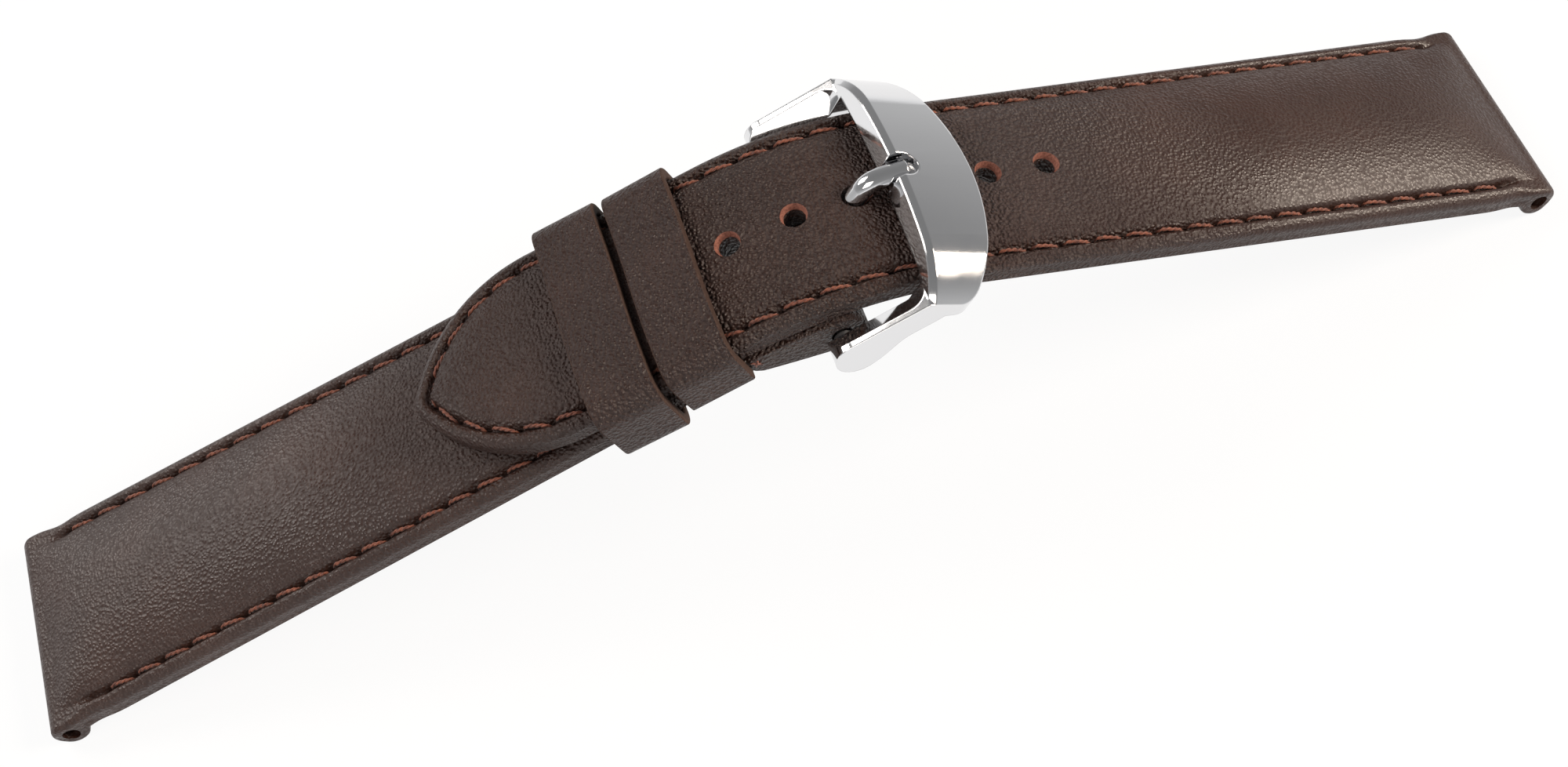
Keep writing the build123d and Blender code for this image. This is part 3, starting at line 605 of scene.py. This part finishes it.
def stitch_tubes(paths, name):
    """Two twisted plies for each stitch, whose path is given with its up vectors."""
    points, faces = [], []
    turns = np.linspace(0, 2 * np.pi, PLY_SIDES, endpoint=False)
    for number, (path, ups) in enumerate(paths):
        count = len(path)
        tangent = unit(np.gradient(path, axis=0))
        aside = unit(np.cross(tangent, ups))
        up = np.cross(aside, tangent)
        thin = PLY_END + (1 - PLY_END) * np.sin(np.pi * np.linspace(0.001, 0.999, count)) ** PLY_POWER
        for ply in (0, 1):
            phase = 2 * np.pi * length_along(path) / PLY_TURN + ply * np.pi + number * PLY_SHIFT
            phase = phase[:, None]
            out = PLY_OUT * thin[:, None]
            centre = path + np.cos(phase) * out * aside + np.sin(phase) * out * PLY_FLAT * up
            around = np.cos(turns)[:, None] * aside[:, None, :] + np.sin(turns)[:, None] * up[:, None, :]
            ring = centre[:, None, :] + PLY_R * thin[:, None, None] * around
            base = len(points) * count * PLY_SIDES
            points.append(ring.reshape(-1, 3))
            faces += grid_faces(count, PLY_SIDES, close_columns=True, base=base)
            faces += end_caps(count, PLY_SIDES, base)
    return mesh_object(name, np.concatenate(points), faces, [THREAD])


def stitch_paths(lay, needles, row, side):
    """Path of each stitch between neighbouring needle places, on top of the strap or under it."""
    paths = []
    share = np.linspace(0, 1, STITCH_STEPS)
    for first, second in zip(needles[:-1], needles[1:]):
        first, second = np.array(first), np.array(second)
        way = second - first
        places = first + way * (STITCH_START + STITCH_SHARE * share)[:, None]
        lean = STITCH_LEAN * np.cos(np.pi * share)
        places = places + unit(np.array([-way[1], way[0]])) * lean[:, None]
        arch = STITCH_RISE * np.sin(np.pi * share) - STITCH_DIVE * np.abs(2 * share - 1) ** DIVE_POWER
        height = row + side * arch
        path = lay(places[:, 0], places[:, 1], height)
        above = lay(places[:, 0], places[:, 1], height + 0.5 * side)
        paths.append((path, unit(above - path)))
    return paths


def both_rows(lay, needles):
    return stitch_paths(lay, needles, ROW_TOP, 1) + stitch_paths(lay, needles, ROW_UNDER, -1)


def evenly(row, pitch):
    """Points along a row of points, a whole number of pitches apart."""
    length = length_along(row)
    places = np.linspace(0, length[-1], int(round(length[-1] / pitch)) + 1)
    return np.stack([np.interp(places, length, row[:, 0]), np.interp(places, length, row[:, 1])], 1)


# Tail half

STEP, LUG_STEP, LUG_CLOSE = 0.24, 0.16, 4.0  # sections along a leg, and closer ones near the lug
BEND_STEP = 0.22
ROLL_BACK = ROLL_R * np.sin(np.linspace(0, np.pi / 2, 16))[1:]  # sections round the roll
NOSE_RUN = 1.6  # sections close together over the nose
TIP_REACH = 5  # past the tip's sides, where a place may still lie nearest to them
TIP_PUFF, PUFF_START, PUFF_END = 0.22, 6, 11  # padded look of the tip, and the run where it fades out
WIDTH_BLEND = 3.0  # run in which the leg's outline becomes the tip's
CUT_BELOW, CUT_ABOVE = 1.0, 0.5  # cutters reach past the skin
SKIN_TIGHT = 0.06  # the skin's holes against the solid's
DENT_BACK, DENT_R, DENT_FLOOR = 0.45, 0.7, 1.6  # dent that the tongue has worn beside its hole
EYE_REACH, WIRE_EXIT = 1.35, math.radians(13)  # tongue's wire, where it leaves its eye
SHANK_SLOPE = math.radians(50)  # from the eye up to the tongue's hump
SHANK_CUT, SHANK_R = 8.5, 1.14  # length and radius of the cutter for its hole


def tail_needles():
    """Needle places round the tail, one row from lug to lug."""
    bend = [(run, HALF - INSET) for run in np.linspace(TIP_LENGTH + 0.2, OVERLAP + BEND_RUN, 120)]
    sides = []
    for start, side in ((TAIL_NEAR, -1), (TAIL_FAR, 1)):
        backs = np.linspace(TAIL_LEG - 0.3, start, 160)
        leg = [(TAIL_LONG - back, float(lug_half(back)) - INSET) for back in backs]
        sides.append(np.concatenate([tip_outline(INSET), bend, leg]) * [1, side])
    return evenly(np.concatenate([sides[0][:0:-1], sides[1]]), PITCH)


def tail_distance(runs, widths, half):
    """Distance of each point from the tail's outline."""
    distance = half - np.abs(widths)
    close = runs[:, 0] < TIP_LENGTH + TIP_REACH
    outline = np.concatenate([tip_outline(0), tip_outline(0) * [1, -1]])
    best = np.full(distance[close].shape, np.inf)
    for run, width in outline:
        best = np.minimum(best, np.hypot(runs[close] - run, np.abs(widths[close]) - width))
    distance[close] = np.minimum(best, distance[close])
    distance[:, 0] = 0
    return np.clip(distance, 0, None)


def edge_radius(back, top, low):
    """Radius of the turned edge, which is smaller at the lug."""
    radius = ROUND_LUG + (ROUND - ROUND_LUG) * smooth(*ROUND_GROWS, back)
    return np.minimum(radius, np.maximum((top - low) * ROUND_SHARE, THINNEST))


def tail_skin(needles):
    """Skin of the tail half, with its sections close together at the nose and the lug."""
    nose = NOSE_C - NOSE + NOSE_RUN * (1 - np.cos(np.linspace(0, np.pi / 2, 26)))
    bend = np.arange(nose[-1] + 0.2, OVERLAP + BEND_RUN - 0.1, BEND_STEP)
    leg, lug = np.arange(TAIL_LEG, LUG_CLOSE, -STEP), np.arange(LUG_CLOSE, 0.0, -LUG_STEP)
    runs = np.concatenate([nose, bend, TAIL_LONG - np.concatenate([leg, lug, [0.0], -ROLL_BACK])])
    back = TAIL_LONG - runs
    blend = smooth(TAIL_LEG - WIDTH_BLEND, TAIL_LEG, back)
    half = np.where(back < TAIL_LEG, lug_half(back) * (1 - blend) + HALF * blend, tip_half(runs))
    low, top = lug_low(back), lug_top(back)
    crown = lug_crown(back, TAIL_LEG, TAIL_CROWN) + TIP_PUFF * (1 - smooth(PUFF_START, PUFF_END, runs))
    edge = edge_radius(back, top, low)
    return strap_body(
        "tail_half", from_tip, runs, half, low, top, crown, edge, tail_distance, needles, back
    )


def hole_cutters():
    """Cutters of the punched holes, and their rims as points and directions."""
    cutters, rims = [], []
    for number in range(-HOLES_EACH_WAY, HOLES_EACH_WAY + 1):
        run, radius, floor = HOLE_RUN + number * HOLE_PITCH, HOLE_R - SKIN_TIGHT, -CUT_BELOW
        if number == 0:
            # The hole in use shows as a worn dent beside the tongue, which fills it
            run, radius, floor = HOLE_RUN - DENT_BACK, DENT_R, DENT_FLOOR
        surface = EDGE + float(lug_crown(TAIL_LEG + BEND_RUN - run, TAIL_LEG, TAIL_CROWN))
        foot, rim = on_tail(run, 0, floor), on_tail(run, 0, surface)
        up = unit(rim - foot)
        cutters.append(rod(foot, rim + CUT_ABOVE * up, radius, 1.0, RIM_WEAR, RIM_DEEP))
        rims.append((rim, up))
    return cutters, rims


def shank_cutter():
    """Cutter of the hole in use, which follows the tongue's shank from its eye to its hump."""
    towards = [np.array([math.cos(slope), 0, math.sin(slope)]) for slope in (WIRE_EXIT, SHANK_SLOPE)]
    start = np.array([BAR[0], 0, BAR[1]]) + EYE_REACH * towards[0]
    return rod(start, start + SHANK_CUT * towards[1], SHANK_R)


tail_row = tail_needles()
tail = tail_skin(tail_row)
tail_stitching = stitch_tubes(both_rows(from_tip, tail_row), "tail_stitching")
lug_cutter = lug_bore(1)
cutters, rims = hole_cutters()
punch(tail, [lug_cutter, *cutters, shank_cutter()])
raw_rims(tail, rims)

# Buckle half

ROW_STOP = 6.0  # stitches end this far before the start of the bend
LOOP_NEAR, LOOP_FAR = 1.6, 9.2  # loop beside the tongue's slot, from the middle
LOOP_ROUND, LOOP_SIDES = 0.45, 120
LOOP_EVEN = 0.7  # in from its sides, where its sections start to lie evenly
LOOP_ANGLE = 60  # degrees, past which the loop has a sharp edge


def short_needles(start, side):
    """Needle places along one side of the buckle half."""
    stop = SHORT_LEG - ROW_STOP
    runs = np.linspace(start, stop, int(round((stop - start) / PITCH)) + 1)[::side]
    return [(run, side * (float(lug_half(run)) - INSET)) for run in runs]


def straight_distance(runs, widths, half):
    """Distance of each point from the buckle half's straight edges."""
    return half - np.abs(widths)


def short_skin(needles):
    """Skin of the buckle half."""
    lug, leg = np.arange(LUG_STEP, LUG_CLOSE, LUG_STEP), np.arange(LUG_CLOSE, SHORT_LEG - 0.1, STEP)
    runs = np.concatenate([-ROLL_BACK[::-1], [0.0], lug, leg, [SHORT_LEG - 0.05]])
    half, low, top = lug_half(runs), lug_low(runs), lug_top(runs)
    crown = lug_crown(runs, SHORT_LEG, SHORT_CROWN)
    edge = edge_radius(runs, top, low)
    return strap_body(
        "buckle_half", on_short, runs, half, low, top, crown, edge, straight_distance, needles, runs
    )


def loop_piece(near, far):
    """Folded end of the buckle half, round the spring bar: the hull of a ring and the strap's end."""
    turns = np.linspace(0, 2 * np.pi, LOOP_SIDES, endpoint=False)
    rays = np.stack([np.cos(turns), np.sin(turns)], 1)
    end = on_short([SHORT_LEG - 1.0] * 2, [0, 0], [0.0, EDGE])[:, [0, 2]]
    support = (np.concatenate([rays * LOOP_R, end - np.array(BAR)]) @ rays.T).max(0)
    facing = rays @ rays.T
    reach = np.where(facing > 1e-3, support / np.maximum(facing, 1e-3), np.inf).min(1)
    corner = LOOP_ROUND * (1 - np.cos(np.linspace(0, np.pi / 2, 7)))
    rings = []
    even = np.linspace(near + LOOP_EVEN, far - LOOP_EVEN, 14)
    widths = np.concatenate([near + corner, even, (far - corner)[::-1]])
    for width in widths:
        edge = min(width - near, far - width, LOOP_ROUND)
        cut = LOOP_ROUND - math.sqrt(LOOP_ROUND**2 - (LOOP_ROUND - edge) ** 2)
        rings.append((reach - cut, width))
    rings += [(np.full(LOOP_SIDES, BORE_R), width) for width in (far, near)]
    points = []
    for radius, width in rings:
        x, z = BAR[0] + radius * rays[:, 0], BAR[1] + radius * rays[:, 1]
        points.append(np.stack([x, np.full(LOOP_SIDES, width), z], 1))
    return np.concatenate(points), grid_faces(len(rings), LOOP_SIDES, close_rows=True, close_columns=True)


def buckle_loop():
    """Loop in two parts, with the tongue's slot between them."""
    near_points, faces = loop_piece(-LOOP_FAR, -LOOP_NEAR)
    far_points, far_faces = loop_piece(LOOP_NEAR, LOOP_FAR)
    faces += [tuple(corner + len(near_points) for corner in face) for face in far_faces]
    made = mesh_object("buckle_loop", np.concatenate([near_points, far_points]), faces, [SKIN])
    made.data.set_sharp_from_angle(angle=math.radians(LOOP_ANGLE))
    return made


near_row, far_row = short_needles(SHORT_NEAR, -1), short_needles(SHORT_FAR, 1)
short = short_skin(near_row + far_row)
punch(short, [lug_bore(-1)])
short_rows = both_rows(on_short, near_row) + both_rows(on_short, far_row)
short_stitching = stitch_tubes(short_rows, "buckle_half_stitching")
loop = buckle_loop()

# Spring inside the bar

WIRE_R, WIRE_SIDES = 0.1, 8
HALF_TURNS, TURN_STEPS = 3, 20
SPRING_LOW, SPRING_HIGH = (np.array(corner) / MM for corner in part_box("spring_bar_spring"))
SPRING_HALF = float(SPRING_HIGH[1])  # from its middle to a plunger's shoulder


def half_spring(name, side):
    """One half of the spring, from its middle to its plunger's shoulder."""
    coil = (SPRING_HIGH[0] - SPRING_LOW[0]) / 2 - WIRE_R
    share = np.linspace(0, 1, HALF_TURNS * TURN_STEPS + 1)
    turn = side * 2 * np.pi * HALF_TURNS * share
    x, z = BAR[0] + coil * np.cos(turn), BAR[1] + coil * np.sin(turn)
    centre = np.stack([x, side * share * (SPRING_HALF - WIRE_R), z], 1)
    outward = np.stack([np.cos(turn), np.zeros(len(share)), np.sin(turn)], 1)
    around = np.linspace(0, 2 * np.pi, WIRE_SIDES, endpoint=False)[:, None]
    ring = np.cos(around) * outward[:, None, :] + np.sin(around) * np.array([0.0, 1.0, 0.0])
    faces = grid_faces(len(share), WIRE_SIDES, close_columns=True) + end_caps(len(share), WIRE_SIDES)
    return mesh_object(name, centre[:, None, :] + WIRE_R * ring, faces, [WIRE])


near_spring, far_spring = half_spring("near_spring_half", -1), half_spring("far_spring_half", 1)

# Keepers

KEEPER_WIDTH, KEEPER_T, KEEPER_GAP, KEEPER_BACK, KEEPER_ARCH = 5.9, 1.0, 0.9, 0.9, 0.15
TOP_GAP, SIDE_GAP, UNDER_GAP, TRAVEL = 0.2, 0.3, 0.25, 6.0
FIXED_SIDE_GAP, FIXED_LOW = 0.08, 0.75  # the fixed keeper's ends sit in the strap's edges, over the lining
TOP_ROUND, LOW_ROUND = 1.2, 0.7
CUT_RIM = 0.2  # worn corners of the cut edges
CUT_DEEP = 0.12
WAVE, WAVE_TURN = 0.05, 0.45  # hand-cut edges: a slight wave, in radians per millimetre
KEEPER_SLOT, CUT_SLOT = range(2)


def keeper_outline(half, low, side_top, low_round, closed):
    """Points of a keeper's inner outline across the strap, and their outward normals."""
    outline = []

    def corner(x, y, radius, start):
        for turn in np.linspace(start, start + math.pi / 2, 12):
            out = math.cos(turn), math.sin(turn)
            outline.append((x + radius * out[0], y + radius * out[1], *out))

    foot = low + low_round if closed else low
    if closed:
        outline += [(x, low, 0, -1) for x in np.linspace(-half + low_round, half - low_round, 12)[1:-1]]
        corner(half - low_round, foot, low_round, -math.pi / 2)
    wall = np.linspace(foot, side_top - TOP_ROUND, 8)[:-1]
    outline += [(half, y, 1, 0) for y in (wall[1:] if closed else wall)]
    flat = half - TOP_ROUND
    corner(flat, side_top - TOP_ROUND, TOP_ROUND, 0)
    for x in np.linspace(flat, -flat, 24)[1:-1]:
        outline.append((x, side_top + KEEPER_ARCH * (1 - (x / flat) ** 2), 0, 1))
    corner(-flat, side_top - TOP_ROUND, TOP_ROUND, math.pi / 2)
    outline += [(-half, y, -1, 0) for y in (wall[:0:-1] if closed else wall[::-1])]
    if closed:
        corner(-half + low_round, foot, low_round, math.pi)
    outline = np.array(outline)
    return outline[:, :2], outline[:, 2:]


def keeper_band():
    """Section of a keeper's band: places along the strap and through the leather, with worn cut edges."""
    section = []
    corners = [(0, 0), (KEEPER_WIDTH, 0), (KEEPER_WIDTH, KEEPER_T), (0, KEEPER_T)]
    for number, (along, through) in enumerate(corners):
        x, y = abs(along - CUT_RIM), abs(through - CUT_RIM)
        for turn in np.linspace(0, math.pi / 2, 5) + math.pi + number * math.pi / 2:
            section.append((x + CUT_RIM * math.cos(turn), y + CUT_RIM * math.sin(turn)))
        if number == 2:
            section += [(x, KEEPER_T) for x in np.linspace(KEEPER_WIDTH - CUT_RIM, CUT_RIM, 12)[1:-1]]
    return np.array(section)


def keeper(name, origin, slope, outline, closed):
    """A flat leather band of one thickness bent round an outline, with raw cut edges."""
    across, normals = outline
    band = keeper_band()
    along = np.array([math.cos(slope), 0, math.sin(slope)])
    up = np.array([-math.sin(slope), 0, math.cos(slope)])
    layers = across[:, None, :] + normals[:, None, :] * band[:, 1:]
    runs = band[:, 0] + WAVE * np.sin(across[:, :1] * WAVE_TURN)
    points = np.array([origin[0], 0, origin[2]]) + runs[..., None] * along + layers[..., 1:] * up
    points[..., 1] += layers[..., 0]
    rows, columns = runs.shape
    middle = (band[:, 0] + np.roll(band[:, 0], -1)) / 2
    ends = (middle < CUT_DEEP) | (middle > KEEPER_WIDTH - CUT_DEEP)
    slots = list(np.where(ends, CUT_SLOT, KEEPER_SLOT)) * (rows if closed else rows - 1)
    faces = grid_faces(rows, columns, close_rows=closed, close_columns=True)
    if not closed:
        faces += end_caps(rows, columns)
        slots += [CUT_SLOT] * 2
    return mesh_object(name, points, faces, [KEEPER, CUT], slots)


CREST_RUN = BEND_R * CREST


def tail_over_short(back):
    """Height of the tail's underside over the buckle half's, back from the start of the bend."""
    return EDGE + LAYER_GAP + (back + CREST_RUN / 2) * math.tan(CREST)


keeper_top = EDGE + TAIL_CROWN + TOP_GAP - KEEPER_ARCH
fixed_back = KEEPER_BACK + KEEPER_WIDTH
fixed_top = tail_over_short(fixed_back) + keeper_top
fixed_outline = keeper_outline(HALF + FIXED_SIDE_GAP, FIXED_LOW, fixed_top, 0, False)
fixed_place = on_short(SHORT_LEG - fixed_back, 0, 0)
fixed = keeper("fixed_keeper_leather", fixed_place, SHORT, fixed_outline, False)

floating_back = fixed_back + KEEPER_GAP + KEEPER_WIDTH + CREST_RUN
floating_low = -(tail_over_short(floating_back + TRAVEL) + UNDER_GAP)
floating_outline = keeper_outline(HALF + SIDE_GAP, floating_low, keeper_top, LOW_ROUND, True)
floating_place = on_tail(-floating_back, 0, 0)
floating = keeper("floating_keeper_leather", floating_place, TIP, floating_outline, True)

CROSS_BACK, CROSS_LOW, CROSS_HIGH = 0.75, 0.6, 1.8  # before the start of the bend, and up the strap's edge
CROSS_OUT, CROSS_BULGE = 0.02, 0.12


def cross_stitches():
    """Two crossed threads on each side, which hold the fixed keeper's ends in the strap's edges."""
    paths = []
    share = np.linspace(0, 1, 12)
    for side in (1, -1):
        for first, last in ((CROSS_LOW, CROSS_HIGH), (CROSS_HIGH, CROSS_LOW)):
            width = side * (HALF + CROSS_OUT + CROSS_BULGE * np.sin(np.pi * share))
            path = on_short(SHORT_LEG - CROSS_BACK + share, width, first + (last - first) * share)
            paths.append((path, np.tile([0.0, side, 0.0], (len(share), 1))))
    return paths


cross = stitch_tubes(cross_stitches(), "keeper_cross_stitches")

# What each piece stands for

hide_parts("tail_top_leather", "tail_padding", "tail_filler", "tail_lining")
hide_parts("short_top_leather", "short_padding", "short_filler", "short_lining")
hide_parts("fixed_keeper")
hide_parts("floating_keeper")
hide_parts("spring_bar_spring")
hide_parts("spring_bar_spring")
for piece in (tail, short, loop, tail_stitching, short_stitching, cross, fixed):
    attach(piece, "strap")
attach(floating, "loose_keeper")
# Each half of the spring is fixed to the strap, with a mesh of its own
for piece, joint in ((near_spring, "near_plunger_slide"), (far_spring, "far_plunger_slide")):
    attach(piece, "strap")
    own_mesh(piece)

# Steel of the solids that stay

STEEL_ANGLE = 28  # degrees, past which the steel has a sharp edge
FINISH = {
    "buckle_frame": STEEL,
    "tongue": STEEL,
    "spring_bar_tube": DULL,
    "near_plunger": DULL,
    "far_plunger": DULL,
}
for name, material in FINISH.items():
    mesh = frame["nodes"][name].data
    mesh.materials.clear()
    mesh.materials.append(material)
    mesh.shade_smooth()
    mesh.set_sharp_from_angle(angle=math.radians(STEEL_ANGLE))

# Floor, light and camera

CLEAR = 0.9  # share of plain white that the camera and the steel see on the floor; the rest is lit
ROOM_FLOOR, ROOM_WALL, ROOM_CEILING = 0.6, 0.28, 0.22  # strengths at the horizon, over it and overhead
WALL_Z = 0.3
FLOOR = 3000.0


def mix_shaders(tree, factor, first, second, out):
    mix = node(tree, "ShaderNodeMixShader")
    tree.links.new(factor, mix.inputs[0])
    tree.links.new(first.outputs[0], mix.inputs[1])
    tree.links.new(second.outputs[0], mix.inputs[2])
    tree.links.new(mix.outputs[0], out.inputs[0])


def pale_floor():
    """A dull pale floor with the strap's shadow, which looks nearly white to the camera and the steel."""
    material, tree, shader = new_material("pale_floor")
    shader.inputs["Base Color"].default_value = (0.9, 0.9, 0.9, 1)
    shader.inputs["Roughness"].default_value = 0.9
    shader.inputs["Specular IOR Level"].default_value = 0.0
    white = node(tree, "ShaderNodeEmission", Strength=1.0)
    path = node(tree, "ShaderNodeLightPath")
    seen = math_node(tree, "MAXIMUM", path.outputs["Is Camera Ray"], path.outputs["Is Glossy Ray"])
    out = next(old for old in tree.nodes if old.type == "OUTPUT_MATERIAL")
    mix_shaders(tree, math_node(tree, "MULTIPLY", seen, CLEAR), shader, white, out)
    return material


def studio_world():
    """A soft room, brighter round the sides than overhead, and white where the camera sees it."""
    world = bpy.data.worlds.new("studio")
    world.use_nodes = True
    tree = world.node_tree
    tree.nodes.clear()
    places = node(tree, "ShaderNodeTexCoord")
    apart = node(tree, "ShaderNodeSeparateXYZ")
    tree.links.new(places.outputs["Generated"], apart.inputs[0])
    room = node(tree, "ShaderNodeBackground", Color=(1, 1, 1, 1))
    sides = map_range(tree, apart.outputs["Z"], 0.0, WALL_Z, ROOM_FLOOR, ROOM_WALL)
    overhead = map_range(tree, apart.outputs["Z"], WALL_Z, 1.0, 0.0, ROOM_CEILING - ROOM_WALL)
    tree.links.new(math_node(tree, "ADD", sides, overhead), room.inputs["Strength"])
    white = node(tree, "ShaderNodeBackground", Color=(1, 1, 1, 1), Strength=1.0)
    path = node(tree, "ShaderNodeLightPath")
    mix_shaders(tree, path.outputs["Is Camera Ray"], room, white, node(tree, "ShaderNodeOutputWorld"))
    return world


def softbox(name, towards, power, size, colour, distance=0.6):
    """A square lamp in a direction from the strap, turned to it. Its size and distance are metres."""
    light = bpy.data.lights.new(name, "AREA")
    light.shape = "SQUARE"
    light.size = size
    light.energy = power
    light.color = colour
    lamp = bpy.data.objects.new(name, light)
    bpy.context.scene.collection.objects.link(lamp)
    lamp.location = Vector(towards).normalized() * distance
    lamp.rotation_mode = "QUATERNION"
    lamp.rotation_quaternion = (-lamp.location).to_track_quat("-Z", "Y")


corners = [(-FLOOR, -FLOOR, 0), (FLOOR, -FLOOR, 0), (FLOOR, FLOOR, 0), (-FLOOR, FLOOR, 0)]
mesh_object("floor", corners, [(0, 1, 2, 3)], [pale_floor()], shade=False)
bpy.context.scene.world = studio_world()
softbox("right_softbox", (0.80, -0.17, 0.52), 3.9, 0.24, (1.0, 0.87, 0.74))
softbox("left_softbox", (-0.60, 0.50, 0.62), 2.3, 0.30, (1.0, 0.95, 0.90))
softbox("near_softbox", (-0.45, -0.62, 0.60), 1.0, 0.30, (1.0, 0.95, 0.90))

# The camera stands where the strap's edges fall on their places in the photograph
RIGHT = Vector((0.940005, -0.314621, -0.131945))
UP = Vector((0.338677, 0.814086, 0.471779))
BACK = Vector((-0.041017, -0.488162, 0.871796))
CAMERA = Vector((-7.432, -87.3686, 155.8663)) * MM
IMAGE_WIDTH, FOCAL, SENSOR = 2000, 2468.555, 36.0  # focal length in pixels of the image
lens = bpy.data.cameras.new("camera")
lens.sensor_width = SENSOR
lens.sensor_fit = "HORIZONTAL"
lens.lens = FOCAL / IMAGE_WIDTH * SENSOR
lens.clip_start, lens.clip_end = 0.01, 10.0
camera = bpy.data.objects.new("camera", lens)
bpy.context.scene.collection.objects.link(camera)
camera.matrix_world = Matrix.Translation(CAMERA) @ Matrix((RIGHT, UP, BACK)).transposed().to_4x4()
bpy.context.scene.camera = camera

bpy.context.scene.view_settings.view_transform = "Standard"
